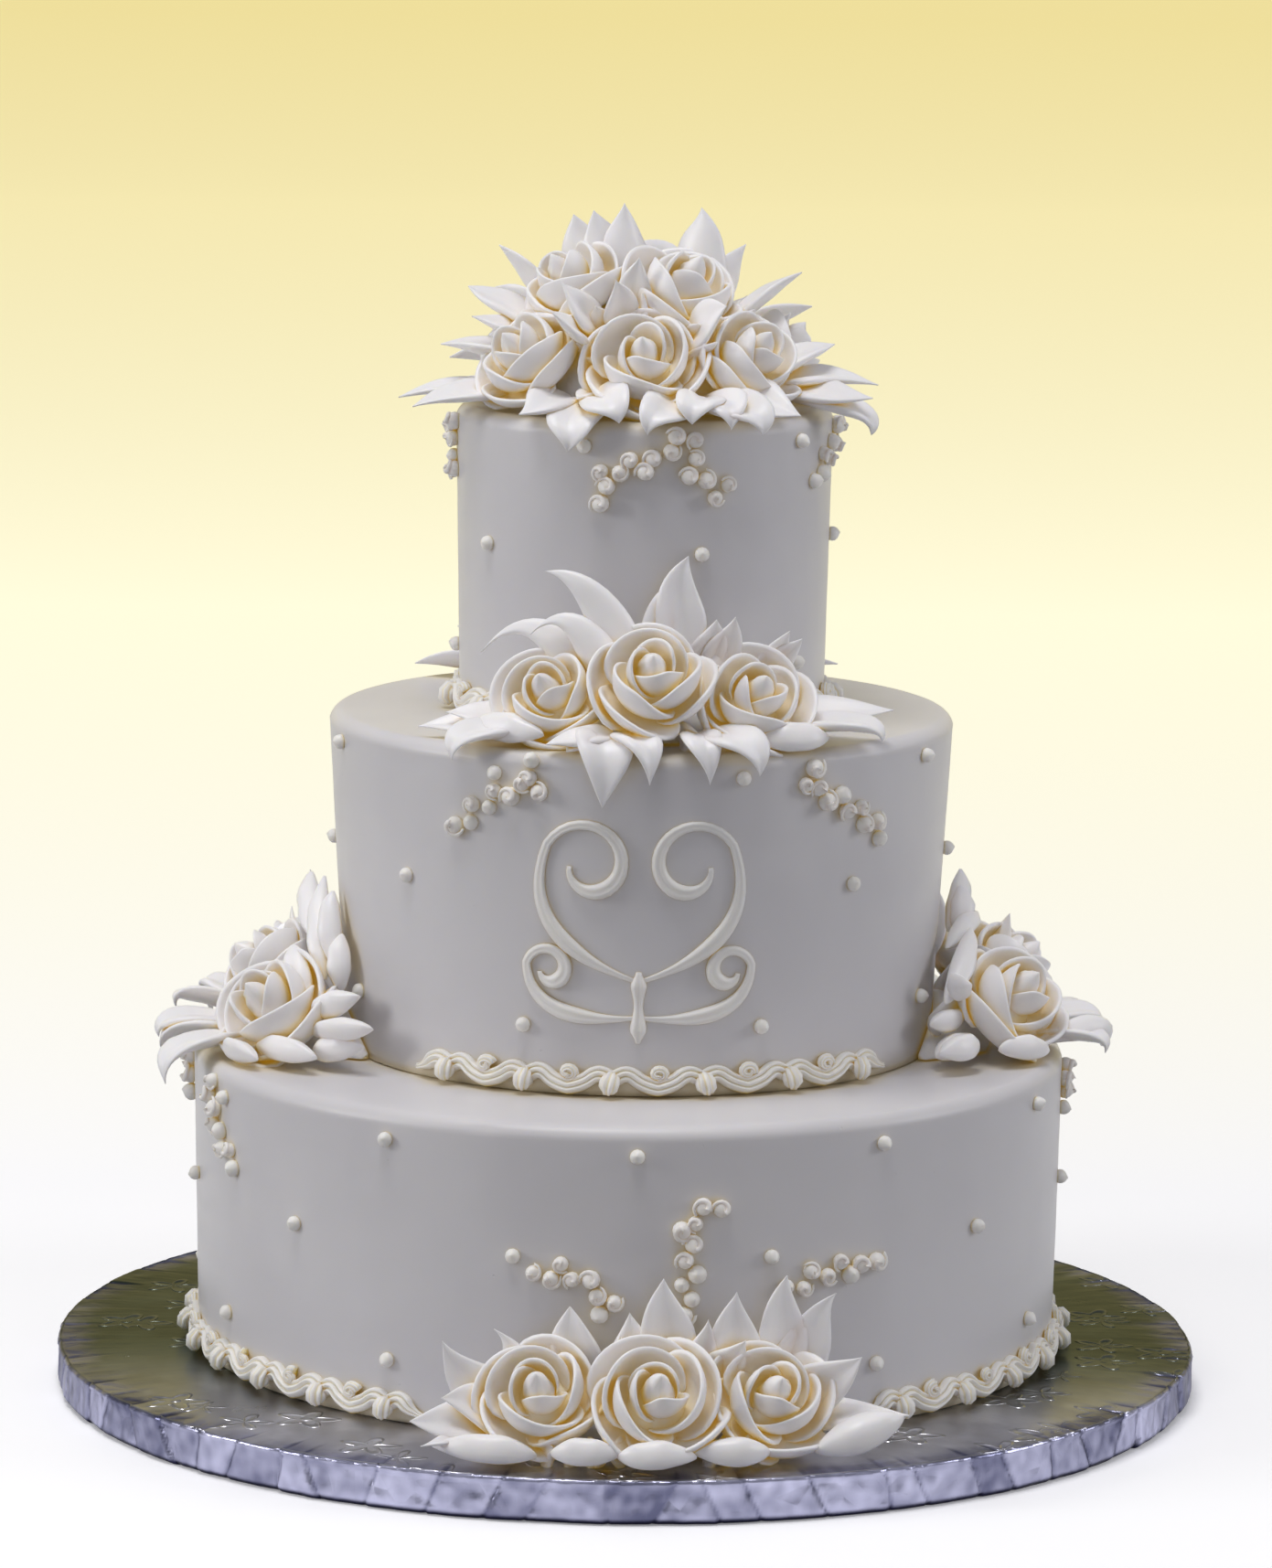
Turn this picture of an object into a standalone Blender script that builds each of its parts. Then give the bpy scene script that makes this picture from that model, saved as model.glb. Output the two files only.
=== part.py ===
# A wedding cake of three round tiers on a foil covered board, dressed with piped roses,
# leaves, pearls, wavy borders and a scroll. Metres. The origin is the middle of the
# board's underside, +Z is up and the front of the cake faces -Y. Bearings are degrees
# round the cake, 0 at the front and 90 at +X.
import math
import random

import bmesh
import bpy
from mathutils import Matrix, Vector
from mathutils.bvhtree import BVHTree

MM = 0.001
GAP = 0.3 * MM
FLAT_ANGLE = math.radians(2.0)   # faces flatter than this to each other are one face
SHARP_ANGLE = math.radians(35.0) # edges sharper than this stay crisp

BOARD_DIAMETER = 0.4572
BOARD_THICKNESS = 0.018
BOARD_EDGE_ROUND = 1.2 * MM
BOARD_SIDES = 60

TIER_SIDES = 44
RIM_ROUND = 6.0 * MM
RIM_STEPS = 2
TIERS = {
    "tier_bottom": {"base": 0.1715, "top": 0.1739, "height": 0.1209, "shift": 0.0},
    "tier_middle": {"base": 0.1173, "top": 0.1240, "height": 0.1331, "shift": 0.0037},
    "tier_top": {"base": 0.0722, "top": 0.0750, "height": 0.1212, "shift": 0.0036},
}

ROSE_SIDES = 8
ROSE_HEART = 0.42        # height of a rose's middle above its base, in radii
ROSE_RISE = 36.0         # how far a rose looks up, in degrees
ROSE_RINGS = (           # radius and height in radii, and how deep the petals lobe it
    (0.44, 0.00, 0.00),
    (0.84, 0.20, 0.00),
    (0.96, 0.50, 0.07),
    (0.70, 0.46, 0.00),
    (0.60, 0.84, -0.07),
    (0.24, 0.86, 0.05),
)
SEAT_RINGS = ((0.46, -0.03), (0.90, 0.17), (1.11, 0.52), (0.68, 1.00))

LEAF_STATIONS = ((0.0, 0.40), (0.45, 1.0))
LEAF_BREADTH = 0.44      # leaf width over its length
LEAF_WIDEST = 42 * MM    # leaves longer than this get no wider
LEAF_THICKNESS = 3.0 * MM
LEAF_LIFT = 0.16         # how far a leaf's edges stand over its midrib, in widths
LEAF_WAVE = 0.06         # how far they wave up and down, in widths
LEAF_ARCH = 0.10         # how far a leaf bows, over its length
PILLOW_BREADTH = 0.62
PILLOW_THICKNESS = 9.0 * MM

PEARL_RADIUS = 2.9 * MM
BEAD_RADIUS = 3.5 * MM
PEARL_SIDES = 4
BEAD_SIDES = 4
PEARL_SINK = 0.25        # how far a pearl's middle stands off the wall, in radii
PEARL_FOOT = 0.9         # how far its foot lies behind its middle
PEARL_SHOULDER = 0.15    # how far its widest place lies before its middle
BEAD_SPACING = 2.15      # distance between the beads of a spray, in radii
BEAD_SWAY = 0.35         # how far they stand to the left and right of its line

BORDER_WAVE = 23.0 * MM
BORDER_HEIGHT = 13.0 * MM
BORDER_DEPTH = 9.0 * MM
BORDER_DIP = 0.30        # share of height and depth lost between two crests

SCROLL_BEARING = 0.0
SCROLL_MIDDLE = 0.206
SCROLL_WIDTH = 5.0 * MM
SCROLL_RISE = 3.2 * MM

CREAM = (0.93, 0.90, 0.83, 1.0)
CREAM_ROUGHNESS = 0.42
FOIL = (0.62, 0.64, 0.72, 1.0)
FOIL_ROUGHNESS = 0.28

LEDGE_MIDDLE = 30 * MM   # distance from the wall at which ledges are measured along

# Clusters on a ledge. Places are (along the wall, out from it, up from the ledge) in
# millimetres; roses add their radius; tips are where the leaves end.
CLUSTERS = {
    "board_front": {
        "wall": "tier_bottom", "bearing": 3.4, "half": 62,
        "roses": ((-44, 28, 24, 21), (0, 32, 25, 22), (44, 28, 23, 21.5)),
        "tips": (
            (-86, 24, 40), (-62, 14, 46), (-36, 9, 54), (-10, 9, 52), (4, 8, 66), (22, 13, 50),
            (34, 10, 61), (53, 10, 65), (72, 12, 59), (78, 30, 38), (-80, 36, 24), (-88, 44, 13),
            (-82, 52, 6), (90, 46, 15),
        ),
        "pillows": ((-48, 52, 5), (-22, 55, 5), (2, 56, 5), (26, 55, 5), (54, 51, 5)),
    },
    "board_back": {
        "wall": "tier_bottom", "bearing": 183.0, "half": 62,
        "roses": ((-44, 28, 23, 21.5), (0, 32, 25, 22), (44, 28, 24, 21)),
        "tips": (
            (-84, 28, 38), (-62, 12, 54), (-36, 9, 60), (-12, 9, 54), (10, 8, 64), (42, 10, 60),
            (68, 14, 46), (86, 30, 32), (92, 44, 14), (-92, 42, 14),
        ),
        "pillows": ((-40, 53, 5), (-12, 56, 5), (14, 56, 5), (42, 53, 5)),
    },
    "side_left": {
        "wall": "tier_middle", "bearing": -90.0, "half": 68,
        "roses": ((50, 34, 20, 22), (3, 30, 27, 21), (-45, 31, 21, 21)),
        "tips": (
            (-33, 12, 60), (12, 7, 61), (44, 6, 56), (-54, 16, 46), (64, 5, 42), (80, 7, 27),
            (98, 10, 18), (18, 72, 3), (-2, 66, 11), (-28, 68, 4), (46, 74, -9), (-56, 70, -6),
            (-84, 12, 22),
        ),
        "pillows": ((98, 24, 7), (90, 42, 5), (72, 48, 5)),
    },
    "side_right": {
        "wall": "tier_middle", "bearing": 96.0, "half": 68,
        "roses": ((-46, 32, 24, 22), (1, 31, 27, 21), (46, 31, 21, 21.5)),
        "tips": (
            (12, 22, 50), (4, 8, 66), (-12, 7, 60), (-36, 9, 54), (0, 68, 3), (-34, 69, 3),
            (34, 70, -6), (-58, 7, 46), (42, 9, 55), (70, 12, 38), (86, 40, 8),
        ),
        "pillows": ((-94, 18, 7), (-90, 36, 5), (-76, 47, 5)),
    },
    "middle_front": {
        "wall": "tier_top", "bearing": 2.0, "half": 54,
        "roses": ((-39, 31, 19, 20), (0, 35, 28, 21), (40, 31, 18, 21)),
        "tips": (
            (-44, 16, 66), (18, 8, 71), (5, 8, 58), (38, 16, 48), (61, 20, 42), (-50, 20, 41),
            (-72, 28, 31), (-86, 45, 5), (-62, 60, -3), (86, 50, 11), (74, 61, 3), (-15, 57, -19),
            (-1, 58, -10), (17, 58, -10), (32, 59, -7),
        ),
        "pillows": ((-27, 49, 3), (46, 48, 3)),
    },
    "middle_back": {
        "wall": "tier_top", "bearing": 184.0, "half": 54,
        "roses": ((-40, 31, 18, 20.5), (0, 34, 26, 21), (39, 31, 20, 20)),
        "tips": (
            (-36, 12, 58), (-12, 8, 66), (14, 9, 60), (40, 14, 52), (66, 18, 36),
            (-64, 18, 38), (-80, 50, 5), (80, 50, 5), (-30, 58, -14),
            (2, 58, -16), (34, 58, -12),
        ),
        "pillows": ((-14, 49, 3), (18, 49, 3)),
    },
}
# Where a leaf leaves the mound: share of its tip's reach along the wall, out and up.
LEAF_ROOTS = {"rising": (0.88, 7, 28), "lying": (0.82, 33, 4), "sideways": (0.80, 18, 15)}
LYING_TIP = 15                # leaves that end no higher than this lie on the ledge
RISING_TIP = 25               # other leaves that end nearer the wall than this stand up
ROOT_BEHIND = (12, 5)         # a root stays this far within its tip, at this least reach
ROOT_UNDER = (6, 4)           # and this far under it, at this least height
LEAF_FACING = (0.3, 0.03, 0.8)   # how a leaf faces: out, more out the higher it ends, up
ROOT_SHIFTS = (0, -5, 5, -10, 10, -15, 15)   # moves along the wall that clear a rose
ROOT_SHIFT_COST = 0.4 * MM    # room that each next move has to win
ROOM_ENOUGH = 5.0 * MM        # room beside a rose beyond which a leaf needs no more
MOUND_REACH = 0.86            # share of the mound's half length that leaves start on
MOUND_SECTION = ((0, 0), (40, 0), (40, 5), (24, 17), (11, 32), (0, 34))
MOUND_STATIONS = ((-1.0, 0.50), (-0.72, 0.95), (0.0, 1.0), (0.72, 0.95), (1.0, 0.50))
DROOP_RISE = 13               # how high a leaf arches before it hangs over a rim
DROOP_REACH = 4               # how far out of its tip that arch is pulled

# The bouquet on the top tier. Places are (right, back, up) from the middle of its top.
BOUQUET_ROSES = (
    (-47, -37, 21, 19.5), (-1, -51, 21, 21), (41, -38, 22, 20), (-30, -13, 47, 20),
    (15, -18, 47, 21), (-50, 12, 20, 19.5), (53, 8, 21, 19.5), (-30, 47, 21, 20),
    (12, 56, 21, 20), (-6, 27, 47, 20), (48, 45, 17, 18),
)
BOUQUET_TIPS = (
    (-9, 5, 79), (-22, 6, 75), (-32, 12, 70), (26, 6, 75), (40, 12, 62), (60, 0, 52),
    (-56, 4, 61), (-70, -4, 45), (-68, -20, 35), (-80, -20, 23), (74, -14, 25), (-95, -30, 6),
    (-88, -44, 4), (90, -22, 11), (85, -40, 5), (-32, -44, 49), (-12, -44, 52), (-24, -54, 42),
    (31, -49, 43), (-27, -78, -9), (2, -80, -3), (33, -78, -3), (45, -76, -3), (-48, -73, 2),
    (84, 26, 6), (26, 82, -5), (-24, 82, -6), (-90, 6, 3),
    (4, 60, 50), (-34, 60, 44), (26, 36, 62),
)
BOUQUET_RADIUS = 58 * MM
BOUQUET_HEIGHT = 46 * MM
BOUQUET_SIDES = 12
BOUQUET_HEART = (0.30, 14)    # share of the tip's reach, and height, that leaves point from
ROOT_DEPTH = 0.86             # share of the way to the dome's surface where leaves start
LOWEST_ROOT = 6 * MM
BOUQUET_STEPS = (0.0, 28.0, 56.0)   # rings of the dome under it, in degrees up
BOUQUET_TILT = 0.45           # degrees that a rose looks up more for each millimetre over 20
# Turns in degrees and lifts in millimetres of a leaf's root that clear a rose.
ROOT_TURNS = (
    (0, 0), (-8, 0), (8, 0), (0, -10), (0, 10), (-16, 0), (16, 0), (-12, 14), (12, 14),
    (-12, -14), (12, -14), (-24, 0), (24, 0), (0, 24), (0, -20),
)

# Rows of single pearls: height, bearing of the first, degrees to the next, how many.
PEARL_ROWS = {
    "tier_bottom": ((128, 1.3, 32.7, 11), (88, -14.2, 32.7, 11), (42, -31.6, 32.7, 11)),
    "tier_middle": ((263, 18.3, 45, 8), (218, 42.4, 45, 7), (165.5, -21.7, 45, 8)),
    "tier_top": ((384, -18.0, 72, 5), (342.5, 17.6, 72, 5), (297, 55.2, 72, 5)),
}
# Sprays of beads: turning points (bearing, height) of the line that each follows.
SPRAYS = {
    "tier_bottom": (
        ((-11.3, 80), (-7.4, 84.5), (-4.4, 78), (-2.0, 73.5), (-2.6, 65)),
        ((8.0, 67), (7.4, 75), (8.4, 84.5), (7.7, 94), (7.6, 103), (12.2, 110.7)),
        ((20.9, 74), (24.2, 79.5), (27.5, 82), (31.0, 79.5), (33.6, 86)),
        ((-69, 132), (-68.5, 124), (-67, 114), (-64, 108), (-60, 101)),
        ((-88, 132), (-89, 122), (-87, 112)),
        ((-109, 132), (-110, 123), (-106, 114)),
        ((86, 132), (85, 123), (86, 114)),
        ((110, 132), (112, 122), (109, 112), (104, 106)),
        ((166, 72), (162, 80)),
        ((184, 78), (186, 88), (184, 98)),
        ((200, 76), (205, 82)),
    ),
    "tier_middle": (
        ((-20.5, 268), (-18.0, 259), (-25.0, 256), (-31.5, 247), (-35.5, 236)),
        ((31.0, 265), (31.8, 256), (37.0, 253), (42.0, 247), (50.0, 235)),
        ((164, 258), (158, 246)),
        ((206, 258), (212, 246)),
    ),
    "tier_top": (
        ((14.0, 389), (6.5, 384), (3.0, 377), (-7.0, 377), (-13.5, 371), (-10.0, 358)),
        ((13.5, 379), (15.5, 371), (21.0, 366.5), (29.5, 367.5)),
        ((-82, 388), (-86, 380), (-82, 371), (-87, 364)),
        ((88, 388), (80, 380), (68, 375), (62, 363)),
        ((174, 380), (182, 370)),
    ),
}

# Borders: wall, first and last bearing of each stretch between two clusters.
BORDERS = {
    "border_board_right": ("tier_bottom", 32.0, 152.0),
    "border_board_left": ("tier_bottom", 214.0, 334.0),
    "border_ledge_front": ("tier_middle", -46.0, 54.0),
    "border_ledge_back": ("tier_middle", 138.0, 226.0),
    "border_top_right": ("tier_top", 48.0, 138.0),
    "border_top_left": ("tier_top", 230.0, 318.0),
}

# Half of the piped scroll, in millimetres from its middle: a heart of two horns that
# curl in at the top, on a short stem with a curled tendril to each side.
SCROLL_HORN = {"start": (0, -22), "swell": (50, -6), "turn": (36, 31), "eye": (20, 23)}
SCROLL_TENDRIL = {"start": (0, -36), "swell": (43, -40), "turn": (44, -16), "eye": (35, -18)}
SCROLL_STEM = (-46, -36, -27, -19)
SCROLL_STEPS = 5
SCROLL_CURL = 300.0      # degrees that each end turns round its eye
SCROLL_SHRINK = 0.55     # share of its reach that it loses on the way
SCROLL_TAPER = (0.55, 0.2)   # width at an end, and how much each further point adds


def clear_scene():
    for obj in list(bpy.data.objects):
        bpy.data.objects.remove(obj, do_unlink=True)


def make_collection(name):
    group = bpy.data.collections.new(name)
    bpy.context.scene.collection.children.link(group)
    return group


def make_material(name, color, roughness, metallic):
    finish = bpy.data.materials.new(name)
    finish.use_nodes = True
    shader = finish.node_tree.nodes["Principled BSDF"]
    shader.inputs["Base Color"].default_value = color
    shader.inputs["Roughness"].default_value = roughness
    shader.inputs["Metallic"].default_value = metallic
    return finish


def new_object(name, bm, group):
    bmesh.ops.recalc_face_normals(bm, faces=bm.faces[:])
    mesh = bpy.data.meshes.new(name)
    bm.to_mesh(mesh)
    bm.free()
    obj = bpy.data.objects.new(name, mesh)
    group.objects.link(obj)
    return obj


def freeze(obj):
    # the evaluated shape becomes the object's own mesh, largest closed body only
    graph = bpy.context.evaluated_depsgraph_get()
    mesh = bpy.data.meshes.new_from_object(obj.evaluated_get(graph))
    obj.modifiers.clear()
    obj.data = mesh
    bm = bmesh.new()
    bm.from_mesh(mesh)
    bm.verts.ensure_lookup_table()
    seen = set()
    bodies = []
    for first in bm.verts:
        if first in seen:
            continue
        body = [first]
        seen.add(first)
        for vert in body:
            for edge in vert.link_edges:
                other = edge.other_vert(vert)
                if other not in seen:
                    seen.add(other)
                    body.append(other)
        bodies.append(body)
    bodies.sort(key=len, reverse=True)
    for body in bodies[1:]:
        bmesh.ops.delete(bm, geom=body, context="VERTS")
    bmesh.ops.dissolve_limit(bm, angle_limit=FLAT_ANGLE, verts=bm.verts[:], edges=bm.edges[:])
    bmesh.ops.triangulate(bm, faces=bm.faces[:])
    bm.to_mesh(mesh)
    bm.free()


def combine(obj, group, operation):
    # one Boolean with every object of the group, which is then removed
    modifier = obj.modifiers.new(operation.lower(), "BOOLEAN")
    modifier.operand_type = "COLLECTION"
    modifier.collection = group
    modifier.operation = operation
    modifier.solver = "MANIFOLD"   # the exact one leaves the scroll touching itself
    bpy.context.view_layer.update()
    freeze(obj)
    for other in list(group.objects):
        bpy.data.objects.remove(other, do_unlink=True)
    bpy.data.collections.remove(group)


def turned(name, profile, sides, group, shift=0.0):
    # a solid of revolution from (radius, height) points, down its outer side
    bm = bmesh.new()
    verts = [bm.verts.new((radius, 0.0, height)) for radius, height in profile]
    for one, two in zip(verts, verts[1:]):
        bm.edges.new((one, two))
    mesh = bpy.data.meshes.new(name)
    bm.to_mesh(mesh)
    bm.free()
    obj = bpy.data.objects.new(name, mesh)
    group.objects.link(obj)
    screw = obj.modifiers.new("turn", "SCREW")
    screw.axis = "Z"
    screw.steps = sides
    screw.render_steps = sides
    screw.use_merge_vertices = True
    screw.merge_threshold = 0.00001
    obj.location.x = shift
    return obj


def tier_floor(name):
    height = BOARD_THICKNESS
    for other, tier in TIERS.items():
        if other == name:
            break
        height += tier["height"]
    return height


def cake_top():
    return BOARD_THICKNESS + sum(tier["height"] for tier in TIERS.values())


def wall_radius(name, height):
    tier = TIERS[name]
    share = (height - tier_floor(name)) / tier["height"]
    share = min(max(share, 0.0), 1.0)
    return tier["base"] + (tier["top"] - tier["base"]) * share


def tier_profile(name, grow):
    # outer side of a tier from its top to its foot, moved out by `grow`
    tier = TIERS[name]
    foot = tier_floor(name) + GAP - grow
    crown = tier_floor(name) + tier["height"] + grow
    edge = tier["top"] + grow
    curve = []
    for step in range(RIM_STEPS + 1):
        angle = math.radians(90 * (1 - step / RIM_STEPS))
        radius = edge - RIM_ROUND + RIM_ROUND * math.cos(angle)
        curve.append((radius, crown - RIM_ROUND + RIM_ROUND * math.sin(angle)))
    return [(0.0, crown)] + curve + [(tier["base"] + grow, foot), (0.0, foot)]


def around(name, bearing, radius, height):
    # a point at a bearing round a tier's own axis
    angle = math.radians(bearing)
    shift = TIERS[name]["shift"]
    return Vector((shift + radius * math.sin(angle), -radius * math.cos(angle), height))


def ledge_place(cluster, place):
    # millimetres (along the wall, out from it, up from the ledge) to metres
    along, out, up = (value * MM for value in place)
    wall = cluster["wall"]
    height = tier_floor(wall) + up
    middle = TIERS[wall]["base"] + LEDGE_MIDDLE
    bearing = cluster["bearing"] + math.degrees(along / middle)
    return around(wall, bearing, wall_radius(wall, height) + 2 * GAP + out, height)


def rose_matrix(middle, axis, radius, turn):
    side = axis.cross(Vector((0, 0, 1))).normalized()
    rise = axis.cross(side)
    turned_side = side * math.cos(turn) + rise * math.sin(turn)
    other = axis.cross(turned_side)
    frame = Matrix((turned_side, other, axis)).transposed().to_4x4()
    base = middle - axis * radius * ROSE_HEART
    return Matrix.Translation(base) @ frame


def ringed(name, rings, radius, matrix, group):
    # a closed body over rings of points; lobes push every other point out and in
    bm = bmesh.new()
    rows = []
    for share, height, lobe in rings:
        row = []
        for step in range(ROSE_SIDES):
            angle = 2 * math.pi * step / ROSE_SIDES
            wave = lobe if step % 2 else -lobe
            reach = radius * share * (1 + wave)
            point = (reach * math.cos(angle), reach * math.sin(angle), radius * (height + wave))
            row.append(bm.verts.new(matrix @ Vector(point)))
        rows.append(row)
    for low, high in zip(rows, rows[1:]):
        for step in range(ROSE_SIDES):
            after = (step + 1) % ROSE_SIDES
            bm.faces.new((low[step], low[after], high[after], high[step]))
    bm.faces.new(rows[0])
    bm.faces.new(rows[-1])
    return new_object(name, bm, group)


def add_rose(name, place, group, seats):
    middle, axis, radius, turn = place
    matrix = rose_matrix(middle, axis, radius, turn)
    rose = ringed(name, ROSE_RINGS, radius, matrix, group)
    seat_rings = [(share, height, 0.0) for share, height in SEAT_RINGS]
    ringed(name + "_seat", seat_rings, radius, matrix, seats)
    return rose


def add_leaf(base, bend, tip, facing, width, thickness, group):
    # a pointed leaf along a bent midrib: two faces that meet in a thin wavy edge
    bm = bmesh.new()
    rows = []
    for number, (t, share) in enumerate(LEAF_STATIONS):
        point = base * (1 - t) ** 2 + bend * 2 * t * (1 - t) + tip * t ** 2
        along = ((bend - base) * (1 - t) + (tip - bend) * t).normalized()
        across = along.cross(facing).normalized()
        normal = across.cross(along)
        half = across * width * share / 2
        lift = normal * width * share * LEAF_LIFT
        wave = normal * width * LEAF_WAVE * (-1 if number % 2 else 1)
        thick = normal * thickness * share / 2
        rows.append([
            bm.verts.new(point - half + lift + wave),
            bm.verts.new(point + thick),
            bm.verts.new(point + half + lift - wave),
            bm.verts.new(point - thick),
        ])
    end = bm.verts.new(tip)
    for low, high in zip(rows, rows[1:]):
        for side in range(4):
            after = (side + 1) % 4
            bm.faces.new((low[side], low[after], high[after]))
            bm.faces.new((low[side], high[after], high[side]))
    for side in range(4):
        bm.faces.new((rows[-1][side], rows[-1][(side + 1) % 4], end))
    bm.faces.new((rows[0][0], rows[0][1], rows[0][3]))
    bm.faces.new((rows[0][1], rows[0][2], rows[0][3]))
    return new_object("leaf", bm, group)


def clear_root(starts, tip, roses):
    # the start whose straight line to the tip keeps furthest from the roses
    best = None
    for number, start in enumerate(starts):
        room = ROOM_ENOUGH
        for step in range(5):
            point = start.lerp(tip, step / 4)
            for middle, size in roses:
                room = min(room, (point - middle).length - size)
        score = room - ROOT_SHIFT_COST * number
        if best is None or score > best[0]:
            best = (score, start)
    return best[1]


def add_cluster_leaves(cluster, tips, thickness, breadth, group):
    rim = ledge_width(cluster["wall"]) / MM
    roses = [(ledge_place(cluster, rose[:3]), rose[3] * MM) for rose in cluster["roses"]]
    for tip in tips:
        kind = "sideways"
        if tip[2] <= LYING_TIP:
            kind = "lying"
        elif tip[1] < RISING_TIP:
            kind = "rising"
        share, out, up = LEAF_ROOTS[kind]
        starts = []
        for shift in ROOT_SHIFTS:
            end = cluster["half"] * MOUND_REACH
            reach = min(max(tip[0] * share + shift, -end), end)
            size = mound_size(abs(reach) / cluster["half"])
            root_out = min(out * size, max(tip[1] - ROOT_BEHIND[0], ROOT_BEHIND[1]))
            root_up = min(up * size, max(tip[2] - ROOT_UNDER[0], ROOT_UNDER[1]))
            starts.append(ledge_place(cluster, (reach, root_out, root_up)))
        end = ledge_place(cluster, tip)
        base = clear_root(starts, end, roses)
        length = (end - base).length
        outward = ledge_place(cluster, (tip[0], rim, 0)) - ledge_place(cluster, (tip[0], 0, 0))
        least, more, upward = LEAF_FACING
        facing = outward.normalized() * (least + max(tip[2], 0) * more) + Vector((0, 0, upward))
        if tip[1] > rim + 1:
            bend = ledge_place(cluster, (tip[0], tip[1] + DROOP_REACH, max(tip[2], 0) + DROOP_RISE))
        else:
            bend = (base + end) / 2 + facing.normalized() * length * LEAF_ARCH
        width = breadth * min(length, LEAF_WIDEST)
        add_leaf(base, bend, end, facing, width, thickness, group)


def ledge_width(wall):
    below = {"tier_bottom": BOARD_DIAMETER / 2, "tier_middle": TIERS["tier_bottom"]["top"],
             "tier_top": TIERS["tier_middle"]["top"]}
    return below[wall] - TIERS[wall]["base"]


def mound_size(reach):
    # how full the mound is at a share of its half length
    inner, outer = MOUND_STATIONS[-2:]
    if reach < inner[0]:
        return 1.0 + (inner[1] - 1.0) * reach / inner[0]
    return inner[1] + (outer[1] - inner[1]) * (reach - inner[0]) / (outer[0] - inner[0])


def add_mound(name, cluster, group):
    # the lump of icing that carries a cluster, thinner towards its ends
    bm = bmesh.new()
    rows = []
    for share, size in MOUND_STATIONS:
        row = []
        for out, up in MOUND_SECTION:
            place = (cluster["half"] * share, out * size, 2 * GAP / MM + up * size)
            row.append(bm.verts.new(ledge_place(cluster, place)))
        rows.append(row)
    sides = len(MOUND_SECTION)
    for low, high in zip(rows, rows[1:]):
        for side in range(sides):
            after = (side + 1) % sides
            bm.faces.new((low[side], low[after], high[after], high[side]))
    bm.faces.new(rows[0])
    bm.faces.new(rows[-1])
    bmesh.ops.triangulate(bm, faces=bm.faces[:])
    return new_object(name, bm, group)


def add_dome(name, group):
    # the lump of icing under the bouquet, a flattened half ball
    centre = Vector((TIERS["tier_top"]["shift"], 0, cake_top() + 2 * GAP))
    bm = bmesh.new()
    rows = []
    for rise in BOUQUET_STEPS:
        angle = math.radians(rise)
        row = []
        for step in range(BOUQUET_SIDES):
            turn = 2 * math.pi * step / BOUQUET_SIDES
            reach = BOUQUET_RADIUS * math.cos(angle)
            place = Vector((reach * math.cos(turn), reach * math.sin(turn), 0))
            place.z = BOUQUET_HEIGHT * math.sin(angle)
            row.append(bm.verts.new(centre + place))
        rows.append(row)
    for low, high in zip(rows, rows[1:]):
        for side in range(BOUQUET_SIDES):
            after = (side + 1) % BOUQUET_SIDES
            bm.faces.new((low[side], low[after], high[after], high[side]))
    crown = bm.verts.new(centre + Vector((0, 0, BOUQUET_HEIGHT)))
    for side in range(BOUQUET_SIDES):
        bm.faces.new((rows[-1][side], rows[-1][(side + 1) % BOUQUET_SIDES], crown))
    bm.faces.new(rows[0])
    bmesh.ops.triangulate(bm, faces=bm.faces[:])
    return new_object(name, bm, group)


def tier_clearance(group):
    for name, tier in TIERS.items():
        shape = turned(name + "_room", tier_profile(name, GAP), TIER_SIDES, group, tier["shift"])
        freeze(shape)


def dress_cluster(name, cluster, cake, rng):
    leaves = make_collection(name + "_leaves")
    room = make_collection(name + "_room")
    for number, (along, out, up, size) in enumerate(cluster["roses"], 1):
        middle = ledge_place(cluster, (along, out, up))
        outward = middle - ledge_place(cluster, (along, 0, up))
        axis = outward.normalized() * math.cos(math.radians(ROSE_RISE))
        axis.z = math.sin(math.radians(ROSE_RISE))
        place = (middle, axis.normalized(), size * MM, rng.uniform(0, math.pi))
        add_rose(name + "_rose_" + str(number), place, cake, room)
    body = add_mound(name + "_leaves", cluster, cake)
    add_cluster_leaves(cluster, cluster["tips"], LEAF_THICKNESS, LEAF_BREADTH, leaves)
    add_cluster_leaves(cluster, cluster["pillows"], PILLOW_THICKNESS, PILLOW_BREADTH, leaves)
    tier_clearance(room)
    combine(body, leaves, "UNION")
    combine(body, room, "DIFFERENCE")


def dome_root(heart, tip):
    # where the line from the heart to the tip leaves the dome, a little further in
    squash = Vector((1 / BOUQUET_RADIUS, 1 / BOUQUET_RADIUS, 1 / BOUQUET_HEIGHT))
    inner = Vector((heart.x * squash.x, heart.y * squash.y, heart.z * squash.z))
    reach = tip - heart
    run = Vector((reach.x * squash.x, reach.y * squash.y, reach.z * squash.z))
    half = inner.dot(run)
    share = (-half + math.sqrt(half ** 2 - run.dot(run) * (inner.dot(inner) - 1))) / run.dot(run)
    return heart + (tip - heart) * share * ROOT_DEPTH


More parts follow.
